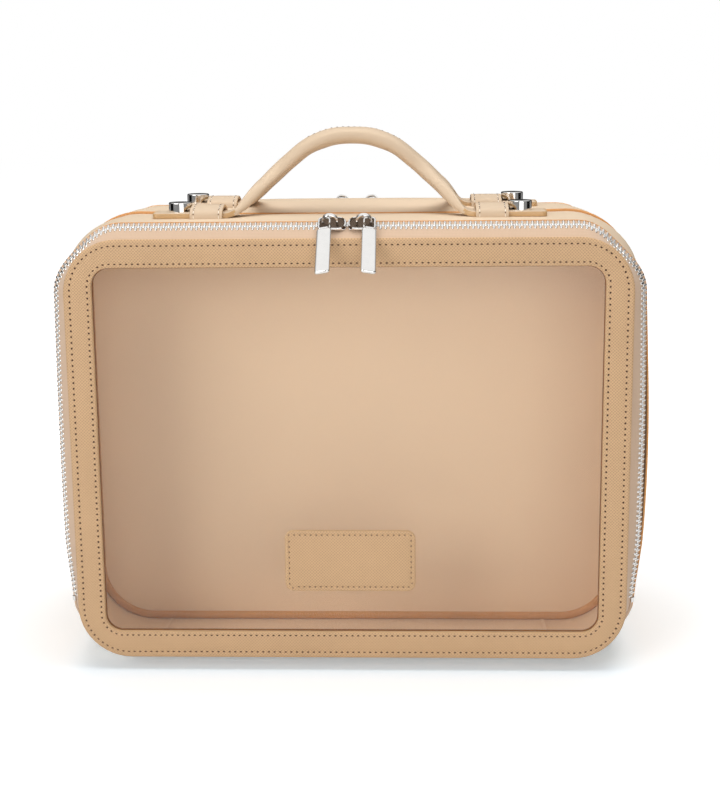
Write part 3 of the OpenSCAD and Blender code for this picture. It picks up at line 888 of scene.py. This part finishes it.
@dataclass
class ZipBand:
    """Both sides' tapes, teeth, stops and the soft hinges below."""

    plan: Layout
    tooth_len: float = 2.9
    tape_run: float = 9.1
    half_tape: float = 0.4
    chain_gap: float = 0.5
    pitch: float = 2.6
    bite: float = 0.75
    stop_y: float = -82.0

    def build(self) -> None:
        """Makes the band on both sides."""
        for side in Side:
            self.tapes(side)
            self.hinge(side)
            for row in ("body", "lid"):
                self.teeth(side, row)
            self.stops(side)

    def teeth(self, side: Side, row: str) -> None:
        """Makes one row of metal teeth, each with its head between two of the other row.

        Args:
            side: the case's side.
            row: body or lid.
        """
        on_body = row == "body"
        tooth = Piece("tooth")
        root, head = self.tooth_len, -self.bite + 0.1
        for middle, size in (((root + 0.3) / 2, (1.2, root - 0.3, 1.9)), ((head + 0.7) / 2, (1.5, 0.7 - head, 1.7))):
            tooth.block((0, middle if on_body else -middle, 0), size, 0.28, 1)
        along, out = self.plan.on_band(0.0, 0.0)
        lowest = -self.plan.lid.half_h + self.plan.lid.radius + 3.0
        places = self.plan.lid.grown(along).walk(self.pitch, 0.0 if on_body else 0.5)
        frames = stitch_frames([place for place in places if place[0].y >= lowest], out)
        piece = Piece(f"{side.word}_{row}_zip_teeth")
        piece.add(tooth, [frame @ rotated(-(90 + self.plan.slope), "X") for frame in frames])
        self.plan.settle(piece).apply(self.plan.upright(side))
        piece.finish([NICKEL], "case" if on_body else f"{side.word}_lid", f"{side.word}_{row}_teeth")

    def stops(self, side: Side) -> None:
        """Makes the two metal stops at the chain's ends."""
        piece = Piece(f"{side.word}_zip_ends")
        along, out = self.plan.on_band(1.7, 0.0)
        for sign in (-1, 1):
            lean = rotated(sign * (self.plan.slope - 90), "Y")
            piece.block((sign * (self.plan.lid.half_w + along), self.stop_y, out), (2.5, 3.0, 2.5), 0.35, 2, lean)
        self.plan.settle(piece).apply(self.plan.upright(side)).finish([NICKEL], "case", f"{side.word}_zip_stops")

    def strip(self, name: str, upper: Iterable[Pair], lower: Iterable[Pair], stages: tuple[int, int],
              side_steps: int, tail: Sequence[Pair] = ()) -> Piece:
        """Makes a strip along the band.

        Args:
            name: the piece's name.
            upper: points (along, out) on the band across its upper face.
            lower: the points of its lower face, in the same order.
            stages: the outline's first stage and how many it covers.
            side_steps: the steps along each side.
            tail: further points (offset, depth) of its upper face, beyond the band.

        Returns:
            The piece, still on the lid's plane.
        """
        over, under = ([self.plan.on_band(*spot) for spot in line] for line in (upper, lower))
        back = [(o - 0.75, f) for o, f in tail]
        piece = Piece(name)
        self.plan.lid.trace(piece, [*over, *tail, *back[::-1], *under[::-1]], *stages, 14, side_steps)
        piece.cap()
        return self.plan.settle(piece.close())

    def tapes(self, side: Side) -> None:
        """Makes the tape that is sewn to the lid and the one that goes under the body's lip."""
        inside = self.plan.shell_o - 0.85
        lip = [(inside, self.plan.lip_end), (inside, 55.0)]
        for row, body, start, end, tail in (
            ("lid", f"{side.word}_lid", -self.tape_run, -self.chain_gap, ()),
            ("body", "case", self.chain_gap, self.tooth_len + 0.2, lip),
        ):
            spots = [start + (end - start) * i / 6 for i in range(7)]
            ribs = [(s, self.half_tape + (0.1 if i % 2 else -0.05)) for i, s in enumerate(spots)]
            flat = [(s, -self.half_tape) for s in spots]
            piece = self.strip(f"{side.word}_{row}_tape_cloth", ribs, flat, (0, 7), 16, tail)
            piece.apply(self.plan.upright(side)).finish([ZIP_TAPE], body, f"{side.word}_{row}_tape")

    def hinge(self, side: Side) -> None:
        """Makes the leather that joins the lid to the body along the bottom."""
        steps = 14
        spots = [-self.tape_run + (self.tape_run + self.tooth_len) * i / steps for i in range(steps + 1)]
        bow = [0.25 * math.sin(math.pi * i / steps) for i in range(steps + 1)]
        faces = [[(s, b + half) for s, b in zip(spots, bow)] for half in (self.half_tape, -self.half_tape)]
        piece = self.strip(f"{side.word}_hinge_leather", *faces, (7, 1), 1).apply(self.plan.upright(side))
        nodes = [f"{side.word}_hinge_strip", f"{side.word}_hinge_flap"]
        thing = piece.finish([HINGE_LEATHER], None, *nodes)
        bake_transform(thing)


@dataclass
class Lid:
    """A lid: the embossed border with its two rows of stitches, the clear sheet and its trim."""

    plan: Layout
    side: Side
    outer_row: float = 3.3
    inner_row: float = 12.5
    seam: Seam = field(default_factory=Seam)

    def build(self) -> None:
        """Makes and dresses the lid."""
        self.border()
        self.stitches()
        self.sheet()
        self.trim()

    def hang(self, piece: Piece, finishes: Sequence[Finish], *nodes: str) -> None:
        """Stands a piece up and ties it to the lid."""
        piece.apply(self.plan.upright(self.side))
        piece.finish(finishes, f"{self.side.word}_lid", *(f"{self.side.word}_{node}" for node in nodes))

    def border(self) -> None:
        """Makes the leather border, a little padded between its rows of stitches."""
        back, front = self.plan.lid_back, self.plan.lid_front
        outer, inner = self.outer_row / self.plan.border, self.inner_row / self.plan.border
        rise = [
            (0.0, back), (0.0, front - 0.9), (0.02, front - 0.45), (0.055, front - 0.12), (0.12, front),
            (outer - 0.06, front), (outer, front - 0.1), (outer + 0.06, front + 0.02), (0.4, front + 0.16),
            (0.55, front + 0.2), (0.7, front + 0.15), (inner - 0.06, front + 0.02), (inner, front - 0.1),
            (inner + 0.06, front - 0.02), (0.965, front - 0.14), (0.99, front - 0.35), (1.0, front - 0.7), (1.0, back),
        ]
        piece = Piece(f"{self.side.word}_border_leather")
        loft(piece, [(self.plan.lid.toward(self.plan.window, share), depth) for share, depth in rise], 12, True)
        piece.mark(lambda face: abs(face.normal.z) < 0.5 and face.calc_center_median().z < front - 0.2)
        self.hang(piece, [FRAME_LEATHER, FRAME_EDGE], "lid_frame")

    def trim(self) -> None:
        """Makes the cloth trim that holds the sheet from inside; its edge shows round the window, coloured dark brown
        as painted shade for the shadow at the window's edge.
        """
        wide, narrow = self.plan.window.grown(self.plan.window_lap), self.plan.window.grown(-0.45)
        back = self.plan.lid_back - 1.6
        rings = [(wide, back), (wide, back + 0.75), (narrow, back + 0.75), (narrow, back)]
        self.hang(loft(Piece(f"{self.side.word}_window_trim"), rings, 10, True), [TRIM_PAINTED_SHADE], "lid_backing")

    def stitches(self) -> None:
        """Sews the two rows; the steep stretches have shorter, broader stitches."""
        threads, holes = Piece(f"{self.side.word}_border_thread"), Piece(f"{self.side.word}_border_holes")
        dots = Seam(self.seam.pitch, self.seam.width * 1.4, self.seam.hole * 0.8)
        for row in (self.outer_row, self.inner_row):
            places = self.plan.lid.toward(self.plan.window, row / self.plan.border).walk(self.seam.pitch)
            for seam, level in ((self.seam, True), (dots, False)):
                chosen = [place for place in places if (abs(math.cos(place[1])) > 0.6) is level]
                seam.sew(threads, holes, stitch_frames(chosen, self.plan.lid_front - 0.1))
        self.hang(threads, [TAN_THREAD])
        self.hang(holes, [NEEDLE_HOLE_SHADE])

    def sheet(self) -> None:
        """Makes the clear sheet, very slightly wavy."""
        reach = self.plan.window.grown(self.plan.window_lap)
        x0, y0 = reach.half_w - reach.radius, reach.half_h - reach.radius
        piece = Piece(f"{self.side.word}_clear_sheet")
        bmesh.ops.create_grid(piece.mesh, x_segments=40, y_segments=32, size=1.0)
        for vertex in piece.mesh.verts:
            u, v, _ = vertex.co
            x, y = u * reach.half_w, v * reach.half_h
            wave = 0.16 * math.sin(x / 31.0 + 1.0) * math.cos(y / 27.0) * (1 - u**4) * (1 - v**4)
            vertex.co = Vector((x, y, self.plan.lid_back - 0.4 + wave))
            over = Vector((max(abs(vertex.co.x) - x0, 0), max(abs(vertex.co.y) - y0, 0)))
            if over.length > reach.radius:
                over *= reach.radius / over.length
                vertex.co.xy = math.copysign(x0 + over.x, x), math.copysign(y0 + over.y, y)
        bmesh.ops.solidify(piece.mesh, geom=piece.mesh.faces[:], thickness=0.3)
        self.hang(piece.close(), [CLEAR], "window")


@dataclass
class LabelPatch:
    """The bare stitched patch on the front sheet."""

    plan: Layout
    outline: RoundRect = RoundRect(34.3, 16.5, 4.5)
    centre_y: float = -58.0
    thickness: float = 1.2
    row: float = 2.3
    seam: Seam = field(default_factory=lambda: Seam(pitch=2.9, width=0.45, hole=1.1))

    def build(self) -> None:
        """Makes the patch and its stitches."""
        base = self.plan.lid_back + 0.02
        top = base + self.thickness
        rings = [
            (0.0, base), (0.0, top - 0.5), (0.15, top - 0.2), (0.5, top), (1.5, top), (self.row - 0.4, top - 0.02),
            (self.row, top - 0.18), (self.row + 0.4, top), (self.row + 1.1, top + 0.16), (self.row + 2.0, top + 0.22),
        ]
        leather = loft(Piece("patch_leather"), [(self.inset(inset), depth) for inset, depth in rings], 6)
        leather.mark(lambda face: abs(face.normal.z) < 0.4 and face.calc_center_median().z < top - 0.2)
        threads, holes = Piece("patch_thread"), Piece("patch_holes")
        self.seam.sew(threads, holes, stitch_frames(self.inset(self.row).walk(self.seam.pitch), top - 0.1))
        for piece in (leather, threads, holes):
            piece.apply(self.plan.upright() @ moved(0, self.centre_y, 0))
        leather.finish([FRAME_LEATHER, STRAP_EDGE], "front_lid", "label_patch")
        threads.finish([TAN_THREAD], "front_lid")
        holes.finish([NEEDLE_HOLE_SHADE], "front_lid")

    def inset(self, by: float) -> RoundRect:
        """Gives the patch's outline moved inward, with its corners kept a little round."""
        return RoundRect(self.outline.half_w - by, self.outline.half_h - by, max(self.outline.radius - by * 1.4, 0.8))


@dataclass
class Slider:
    """A zip slider with its crown, and the pull that hangs from it."""

    plan: Layout
    quarter: Quarter
    nose_gap: float = 0.8
    length: float = 14.4
    half_w: float = 4.8
    plate_n: float = 1.5
    plate_t: float = 1.2
    crown_x: float = 7.744
    crown_s: float = -0.6
    crown_len: float = 6.8
    crown_h: float = 4.6
    pull_x: float = 11.444
    pull_len: float = 30.0
    splay: float = 13.0
    droop: float = 5.0

    @property
    def top(self) -> float:
        """The height of the upper plate's face over the chain."""
        return self.plate_n + self.plate_t

    def build(self) -> None:
        """Makes the slider and the pull."""
        word, place = self.quarter.word, self.quarter.flip @ self.plan.chain()
        slider = self.slider().apply(place)
        slider.finish([NICKEL, NICKEL_PAINTED_SHADE], f"{word}_slider_body", f"{word}_slider")
        hang = moved(self.pull_x, self.crown_s, self.top + 1.8) @ rotated(self.droop, "X")
        self.pull().apply(place @ hang).finish([NICKEL], f"{word}_pull_body", f"{word}_pull")

    def slider(self) -> Piece:
        """Makes the plates, rails and crown."""
        piece = Piece(f"{self.quarter.word}_slider_metal")
        middle = self.nose_gap / 2 + self.length / 2
        outline = RoundRect(self.length / 2, self.half_w, 4.3)
        rings = [(0.3, self.plate_n), (0.0, self.plate_n + 0.3), (0.0, self.top - 0.35), (0.25, self.top),
                 (0.8, self.top), (1.1, self.top - 0.4), (1.5, self.top - 0.5), (3.6, self.top - 0.6)]
        loft(piece, [(outline.grown(-inset), depth) for inset, depth in rings], 6)
        recess = outline.grown(-0.85)

        def sunk(face: bmesh.types.BMFace) -> bool:
            """Whether a face lies in the plate's recess."""
            x, y, z = face.calc_center_median()
            return z > self.plate_n and max(abs(x) / recess.half_w, abs(y) / recess.half_h) < 1

        # The recess faces take the near-black nickel: painted shade under the crown and ring.
        piece.mark(sunk)
        bmesh.ops.translate(piece.mesh, vec=(middle, 0, 0), verts=piece.mesh.verts)
        for y, z, width, height in ((-3.6, 1.15, 0.8, 0.9), (3.6, 1.15, 0.8, 0.9), (-3.6, -1.1, 0.8, 1.6),
                                    (-2.6, -2.1, 2.6, 1.0)):
            piece.block((middle, y, z), (12.0, width, height))
        self.crown(piece)
        return piece.close()

    def crown(self, piece: Piece) -> None:
        """Adds the crown, one bar bent over the plate; both bends share a centre, so it rises toward the pull."""
        foot, bend = self.top - 0.3, 2.1
        half, rise = self.crown_len / 2 - 0.6, self.crown_h - 0.2 - bend
        across, thick = 1.1, 0.6
        mesh = piece.mesh
        points = []
        for way in (ray(math.tau * (i + 0.5) / 12) for i in range(12)):
            x, y = (size * math.copysign(abs(part) ** 0.5, part) for size, part in zip((thick, across), way))
            points.append(mesh.verts.new((self.crown_x - half + x, self.crown_s + y, foot)))
        ends = [points + [mesh.edges.new(pair) for pair in zip(points, points[1:] + points[:1])]]
        up, along, down = Vector((0, 0, rise)), Vector((2 * (half - bend), 0, 0)), Vector((0, 0, -rise))
        centre = Vector((self.crown_x + half - bend, self.crown_s, foot + rise))
        for step in (up, None, along, None, down):
            turn = {"dvec": step, "angle": 0.0, "steps": 1} if step else {"angle": math.pi / 2, "steps": 6}
            spun = bmesh.ops.spin(mesh, geom=ends[-1], cent=centre, axis=(0, 1, 0), **turn)
            ends.append(spun["geom_last"])
        for end in (ends[0], ends[-1]):
            edges = [item for item in end if isinstance(item, bmesh.types.BMEdge) and item.is_valid]
            bmesh.ops.edgeloop_fill(mesh, edges=edges)

    def pull(self) -> Piece:
        """Makes the ring round the crown and the bar below it."""
        piece = Piece(f"{self.quarter.word}_pull_metal")
        front = 5.8
        piece.block((0, -front - self.pull_len / 2, 0), (5.1, self.pull_len, 2.6), 1.25, 6)
        for vertex in piece.mesh.verts:
            share = (vertex.co.y + front + self.pull_len) / self.pull_len
            vertex.co.x *= 1.55 - 0.06 * share
        piece.block((0, -front - 0.2, 0), (4.6, 2.4, 1.8), 0.5)
        piece.apply(rotated(self.splay, "Y"))
        ring = Piece("ring")
        circle = [(0.5 * math.cos(a), 0.5 * math.sin(a)) for a in (math.tau * i / 10 for i in range(10))]
        RoundRect(2.75, 4.0, 1.7).trace(ring, circle, steps=5)
        piece.add(ring.close(), [moved(0, -1.95, 0)])
        return piece.close()


@dataclass
class Keeper:
    """A domed leather sleeve with a row of stitches near each end."""

    plan: Layout
    quarter: Quarter
    start: float = 66.0
    length: float = 17.0
    height: float = 7.3
    thickness: float = 1.6
    half_w: float = 12.7
    middle_y: float = -33.0
    dome: float = 1.7
    row_in: float = 1.9
    seam: Seam = field(default_factory=lambda: Seam(pitch=2.6, width=0.4, hole=0.9))

    def ridge(self, shrink: float) -> list[Pair]:
        """Gives the arch across the strap, moved inward, as (across, up) from one foot to the other."""
        half = self.half_w - shrink
        radius = max(4.0 - shrink, 1.0)
        flat, side_top = half - radius, self.height - shrink - self.dome
        points = [(half, 0.0), (half, (side_top - radius) * 0.5), (half, side_top - radius)]
        turns = [math.pi / 2 * i / 6 for i in range(1, 6)]
        points += [(flat + radius * math.cos(a), side_top - radius + radius * math.sin(a)) for a in turns]
        points += [(y, side_top + self.dome * (1 - (y / flat) ** 2)) for y in (flat - flat * i / 6 for i in range(7))]
        return points + [(-y, z) for y, z in points[-2::-1]]

    def build(self) -> None:
        """Makes the sleeve and its stitches."""
        word = self.quarter.word
        leather = Piece(f"{word}_keeper_leather")
        ends = [(0.0, 0.3), (0.25, 0.08), (0.7, 0.0), (2.0, 0.1), (5.0, 0.0)]
        stations = [*ends, *[(self.length - x, s) for x, s in ends[::-1]]]
        walls = [
            [(x, y, z) for y, z in [*self.ridge(shrink), *self.ridge(self.thickness - shrink * 0.5)[::-1]]]
            for x, shrink in stations
        ]
        around = len(walls[0])
        leather.skin(around, len(walls) - 1, lambda column, row: walls[row][column % around])
        for face in leather.cap():
            face.material_index = 1
        leather.close()
        bmesh.ops.triangulate(leather.mesh, faces=[face for face in leather.mesh.faces if len(face.verts) > 4])
        threads, holes = Piece(f"{word}_keeper_thread"), Piece(f"{word}_keeper_holes")
        for x in (self.row_in, self.length - self.row_in):
            self.seam.sew(threads, holes, self.row(x))
        for piece in (leather, threads, holes):
            piece.apply(self.quarter.flip @ moved(self.start, self.middle_y, self.plan.top_z + 0.02))
        leather.finish([STRAP_LEATHER, STRAP_EDGE], "case", f"{word}_keeper")
        threads.finish([PALE_THREAD_AND_HIGHLIGHT], "case")
        holes.finish([NEEDLE_HOLE_SHADE], "case")

    def row(self, x: float) -> list[Matrix]:
        """Gives the frames of a row of stitches across the arch."""
        arch = [Vector((x, y, z)) for y, z in self.ridge(0.04)]
        runs = [(b - a).length for a, b in zip(arch, arch[1:])]
        frames = []
        for number, left in paces(runs, int(sum(runs) / self.seam.pitch), 0.5):
            along = (arch[number + 1] - arch[number]).normalized()
            spot = arch[number] + along * left
            out = Vector((1, 0, 0)).cross(along)
            if out.z < 0 or (abs(out.z) < 0.01 and out.y * spot.y < 0):
                out = -out
            turn = Matrix((along, out.cross(along), out)).transposed().to_4x4()
            frames.append(Matrix.Translation(spot) @ turn)
        return frames


@dataclass
class Strap:
    """The carrying strap: a rolled grip that flattens into two prongs at each end."""

    plan: Layout
    rise: float = 40.5
    slope: float = 43.0
    arch_r: float = 43.6
    foot_r: float = 13.695
    keeper_x: float = 66.0
    tail_x: float = 103.0
    grip_w: float = 24.0
    strap_t: float = 3.2
    prong_gap: float = 66.0
    prong_w: float = 21.0
    crotch_x: float = 52.6
    split_x: float = 22.0
    flare_x: float = 34.0
    joint_x: float = 45.0
    top_half: tuple[Pair, ...] = ((0, 3.8), (14, 4.6), (27, 5.0), (38, 5.5), (47, 5.0), (62, 1.6))
    under_half: tuple[Pair, ...] = ((0, 5.2), (14, 4.8), (27, 3.8), (38, 3.1), (49, 2.6), (62, 1.6))
    seam: Seam = field(default_factory=lambda: Seam(pitch=3.0, width=0.45, hole=1.0))

    @property
    def base_z(self) -> float:
        """The height of the prongs' middle line."""
        return self.plan.top_z + 0.3 + self.strap_t / 2

    def spine(self, x: float) -> tuple[float, float]:
        """Gives the strap's middle line.

        Args:
            x: the distance from the middle of the case.

        Returns:
            The height above the prongs and the slope in radians.
        """
        tilt = math.radians(self.slope)
        foot_start = self.keeper_x - self.foot_r * math.sin(tilt)
        if x <= self.arch_r * math.sin(tilt):
            angle = math.asin(x / self.arch_r)
            return self.rise - self.arch_r * (1 - math.cos(angle)), angle
        if x <= foot_start:
            return self.foot_r * (1 - math.cos(tilt)) + (foot_start - x) * math.tan(tilt), tilt
        angle = math.asin(max(self.keeper_x - x, 0.0) / self.foot_r)
        return self.foot_r * (1 - math.cos(angle)), angle

    def edges(self, x: float) -> Pair:
        """Gives the inner and outer edge of one half of the strap at a distance from the middle."""
        inner_end, half_grip = (self.prong_gap - self.prong_w) / 2, self.grip_w / 2
        flare = ease((x - self.flare_x) / (self.keeper_x - self.flare_x))
        outer = half_grip + (inner_end + self.prong_w - half_grip) * flare
        split = (x - self.crotch_x) / 3.0
        inner = inner_end * math.sqrt(ease(split)) if split > 0 else 0.0
        if x > self.tail_x - 3:
            round_off = 3 - math.sqrt(max(9 - (x - self.tail_x + 3) ** 2, 0.0))
            return inner + round_off * 0.8, outer - round_off * 0.8
        return inner, outer

    @staticmethod
    def between(x: float, steps: Sequence[Pair]) -> float:
        """Reads a value off a line of (distance, value) points."""
        for (x0, low), (x1, high) in zip(steps, steps[1:]):
            if x <= x1:
                return low + (high - low) * ease((x - x0) / (x1 - x0)) if x > x0 else low
        return steps[-1][1]

    def point(self, x: float, share: float) -> Vector:
        """Gives a point round one half of the strap.

        Args:
            x: the distance from the middle of the case.
            share: 0 to 1, from the inner edge over the top and back underneath.

        Returns:
            The point, in the case's frame.
        """
        height, angle = self.spine(x)
        inner, outer = self.edges(x)
        over = share <= 0.5
        turn = math.tau * (share if over else 1 - share)
        y = (inner + outer) / 2 - (outer - inner) / 2 * math.cos(turn)
        split = ease((x - self.split_x) / (self.crotch_x - self.split_x))
        power = 2.3 + 5.0 * ease((x - self.joint_x) / 12)
        whole = max(1 - (y / outer) ** 2.6, 0.0) ** (1 / 2.6)
        tube = max(1 - abs(2 * (y - inner) / (outer - inner) - 1) ** power, 0.0) ** (1 / power)
        half = self.between(x, self.top_half if over else self.under_half)
        out = (1 if over else -1) * half * ((1 - split) * whole + split * tube)
        return Vector((x + out * math.sin(angle), y, self.base_z + height + out * math.cos(angle)))

    def half_strap(self, name: str, start: float, columns: int, end: float) -> Piece:
        """Makes the strap between two distances from the middle, both halves, to the right.

        Args:
            name: the piece's name.
            start: the nearer distance; negative to cross the middle.
            columns: the steps along the strap.
            end: the farther distance.

        Returns:
            The piece.
        """
        rows = 28

        def place(column: int, row: int) -> Vector:
            """Gives a point of the front half."""
            x = start + (end - start) * column / columns
            spot = self.point(abs(x), row / rows)
            spot.x = math.copysign(spot.x, x)
            return spot

        piece = Piece(name, sharp=60.0)
        piece.skin(columns, rows, place)
        other = Piece("other", piece.mesh.copy()).apply(sized(1, -1, 1))
        piece.add(other)
        piece.cap()
        return piece.close()

    def build(self) -> None:
        """Makes the grip, the two ends, their stitches and the studs' finish."""
        grip = self.half_strap("grip_leather", -self.joint_x, 60, self.joint_x)
        thing = grip.finish([STRAP_LEATHER, STRAP_EDGE], None, "left_leg", "right_leg")
        self.bridge(thing)
        for word, sign in (("left", -1), ("right", 1)):
            end = self.half_strap(f"{word}_end_leather", self.joint_x, 64, self.tail_x)
            end.mark(self.cut)
            end.apply(sized(sign, 1, 1))
            thing = end.finish([STRAP_LEATHER, STRAP_EDGE], None, f"{word}_prongs", f"{word}_foot")
            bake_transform(thing)
        self.stitches()
        for quarter in Quarter:
            dress(f"{quarter.word}_stud", NICKEL)

    def cut(self, face: bmesh.types.BMFace) -> bool:
        """Whether a face belongs to the painted cut edges of the flat part."""
        x = abs(face.calc_center_median().x)
        return (x > self.keeper_x - 6 and abs(face.normal.y) > 0.72) or x > self.tail_x - 0.6

    def stitches(self) -> None:
        """Sews the row along the top of the grip."""
        threads, holes = Piece("grip_thread"), Piece("grip_holes")
        frames = []
        half_count = 8
        for index in range(-half_count, half_count + 1):
            x = index * self.seam.pitch * 0.93
            height, angle = self.spine(abs(x))
            angle = math.copysign(angle, x)
            rise = self.between(abs(x), self.top_half)
            spot = (x + rise * math.sin(angle), 0, self.base_z + height + rise * math.cos(angle))
            frames.append(moved(*spot) @ Matrix.Rotation(angle, 4, "Y"))
        self.seam.sew(threads, holes, frames)
        for piece, finish in ((threads, PALE_THREAD_AND_HIGHLIGHT), (holes, NEEDLE_HOLE_SHADE)):
            thing = piece.finish([finish], None)
            self.bridge(thing)

    @staticmethod
    def bridge(thing: bpy.types.Object) -> None:
        """Bakes the place of an object of the grip into its mesh, tied to no body."""
        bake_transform(thing)


@dataclass
class Studio:
    """The pale floor, the soft light and the camera, in metres."""

    eye: tuple[float, float, float] = (0.0343, -0.8264, 0.3029)
    yaw: float = -2.15
    pitch: float = 11.51
    roll: float = -0.55
    focus_px: float = 1500.0
    width_px: float = 720.0
    sensor: float = 36.0
    footprint: tuple[float, float, float] = (0.135, 0.07, 0.0)
    shadow_reach: float = 0.03
    glow_reach: float = 0.4

    def build(self) -> None:
        """Sets up the whole studio."""
        self.camera()
        self.floor()
        self.world()
        self.cards()
        self.lamp("key", (-1.15, -1.45, 0.8), 1.1, 14.4)
        self.lamp("fill", (0.45, -1.85, 0.3), 1.2, 10.2)
        self.lamp("top", (0.1, 0.0, 1.5), 1.3, 18.0, False)
        bpy.context.scene.view_settings.view_transform = "Standard"

    def camera(self) -> None:
        """Places the camera."""
        data = bpy.data.cameras.new("camera")
        data.sensor_fit = "HORIZONTAL"
        data.sensor_width = self.sensor
        data.lens = self.sensor * self.focus_px / self.width_px
        data.clip_start, data.clip_end = 0.01, 50.0
        yaw, pitch, roll = (math.radians(v) for v in (self.yaw, self.pitch, self.roll))
        ahead = Vector((math.sin(yaw) * math.cos(pitch), math.cos(yaw) * math.cos(pitch), -math.sin(pitch)))
        right = Vector((math.cos(yaw), -math.sin(yaw), 0))
        up = right.cross(ahead)
        across = right * math.cos(roll) + up * math.sin(roll)
        raised = up * math.cos(roll) - right * math.sin(roll)
        thing = link("camera", data)
        thing.matrix_world = moved(*self.eye) @ Matrix((across, raised, -ahead)).transposed().to_4x4()
        bpy.context.scene.camera = thing

    @staticmethod
    def stand(name: str, mesh: bmesh.types.BMesh, material: bpy.types.Material) -> bpy.types.Object:
        """Makes an object of the studio, and uses up its mesh."""
        data = bpy.data.meshes.new(name)
        mesh.to_mesh(data)
        mesh.free()
        data.materials.append(material)
        thing = link(name, data)
        return thing

    @staticmethod
    def seen(rays: bpy.types.Node, graph: Graph) -> Socket:
        """Tells the camera's own view, straight or through the clear sheet, from light and gloss."""
        return graph.math("MAXIMUM", rays.outputs["Is Camera Ray"], rays.outputs["Is Transmission Ray"])

    def floor(self) -> None:
        """Lays the white floor: the camera sees it glow away from the case, and metal sees it matt."""
        mesh = bmesh.new()
        bmesh.ops.create_grid(mesh, x_segments=1, y_segments=1, size=6.0)
        material = bpy.data.materials.new("floor_white")
        graph = Graph(material)
        beyond = graph.vector("SUBTRACT", graph.vector("ABSOLUTE", graph.place), self.footprint)
        away = graph.vector("LENGTH", graph.vector("MAXIMUM", beyond, (0, 0, 0))).outputs["Value"]
        # Near the case the floor glows less, and within the shadow reach its colour and glow turn cool: painted shade
        # and a painted cool tint in the contact shadow.
        clear = graph.ramp(away, 0.0, self.shadow_reach, 0.0, 1.0)
        glow = graph.add("Emission", {
            "Color": graph.mix(clear, (0.95, 1.08, 1.16), (1, 1, 1)),
            "Strength": graph.ramp(away, self.shadow_reach, self.glow_reach, 0.245, 0.76)})
        cool = graph.add("BsdfDiffuse", {"Color": graph.mix(clear, (0.84, 0.91, 0.96), (0.9, 0.9, 0.9))})
        matt = graph.add("BsdfDiffuse", {"Color": (0.9, 0.9, 0.9, 1)})
        both = graph.add("AddShader", {0: cool, 1: glow})
        graph.show(graph.blend(self.seen(graph.add("LightPath"), graph), matt, both))
        self.stand("floor", mesh, material)

    def cards(self) -> None:
        """Stands dark cards at both sides, behind and in front, seen only in polished metal."""
        material = bpy.data.materials.new("card_black")
        graph = Graph(material)
        graph.show(graph.add("BsdfDiffuse", {"Color": (0.006, 0.006, 0.006, 1)}))
        for name, place, size in (
            ("card_left", (-1.6, -0.1, 0.17), (0.02, 1.1, 0.34)),
            ("card_right", (1.6, -0.1, 0.17), (0.02, 1.1, 0.34)),
            ("card_rear_left", (-1.0, 1.6, 0.45), (1.1, 0.02, 0.9)),
            ("card_rear_right", (1.0, 1.6, 0.45), (1.1, 0.02, 0.9)),
            ("card_front", (0.0, -2.6, 0.95), (1.6, 0.02, 0.35)),
        ):
            mesh = bmesh.new()
            bmesh.ops.create_cube(mesh, size=1.0, matrix=moved(*place) @ sized(*size))
            card = self.stand(name, mesh, material)
            for kind in ("camera", "diffuse", "transmission", "volume_scatter", "shadow"):
                setattr(card, f"visible_{kind}", False)

    def world(self) -> None:
        """Sets a white surround for the camera and a softer one, brighter overhead, for light and gloss."""
        world = bpy.data.worlds.new("studio")
        bpy.context.scene.world = world
        graph = Graph(world)
        rays = graph.add("LightPath")
        height = graph.add("SeparateXYZ", {0: graph.places["Generated"]}).outputs["Z"]
        sky = graph.ramp(height, 0.3, 0.85, -0.2, 0.78)
        strength = graph.math("MULTIPLY_ADD", rays.outputs["Is Glossy Ray"], sky, 0.26)
        white = graph.add("Background", {"Color": (1, 1, 1, 1)})
        soft = graph.add("Background", {"Color": (1, 1, 1, 1), "Strength": strength})
        graph.show(graph.blend(self.seen(rays, graph), soft, white), "World")

    @staticmethod
    def lamp(name: str, place: Sequence[float], size: float, power: float, mirrored: bool = True) -> None:
        """Hangs a soft square lamp that faces the case.

        Args:
            name: the lamp's name.
            place: where it hangs.
            size: its side, in metres.
            power: its power, in watts.
            mirrored: whether polished metal shows it.
        """
        data = bpy.data.lights.new(name, "AREA")
        data.size, data.energy = size, power
        thing = link(name, data)
        thing.visible_glossy = mirrored
        away = Vector(place) - Vector((0, 0, 0.12))
        thing.matrix_world = moved(*place) @ away.to_track_quat("Z", "Y").to_matrix().to_4x4()


def main() -> None:
    """Builds the sub-assemblies in order."""
    logging.basicConfig(level=logging.INFO, format="%(name)s %(message)s")
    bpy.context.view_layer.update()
    plan = Layout()
    Studio().build()
    Body(plan).build()
    ZipBand(plan).build()
    for side in Side:
        Lid(plan, side).build()
    LabelPatch(plan).build()
    for quarter in Quarter:
        Slider(plan, quarter).build()
        Keeper(plan, quarter).build()
    Strap(plan).build()


if __name__ == "__main__":
    main()
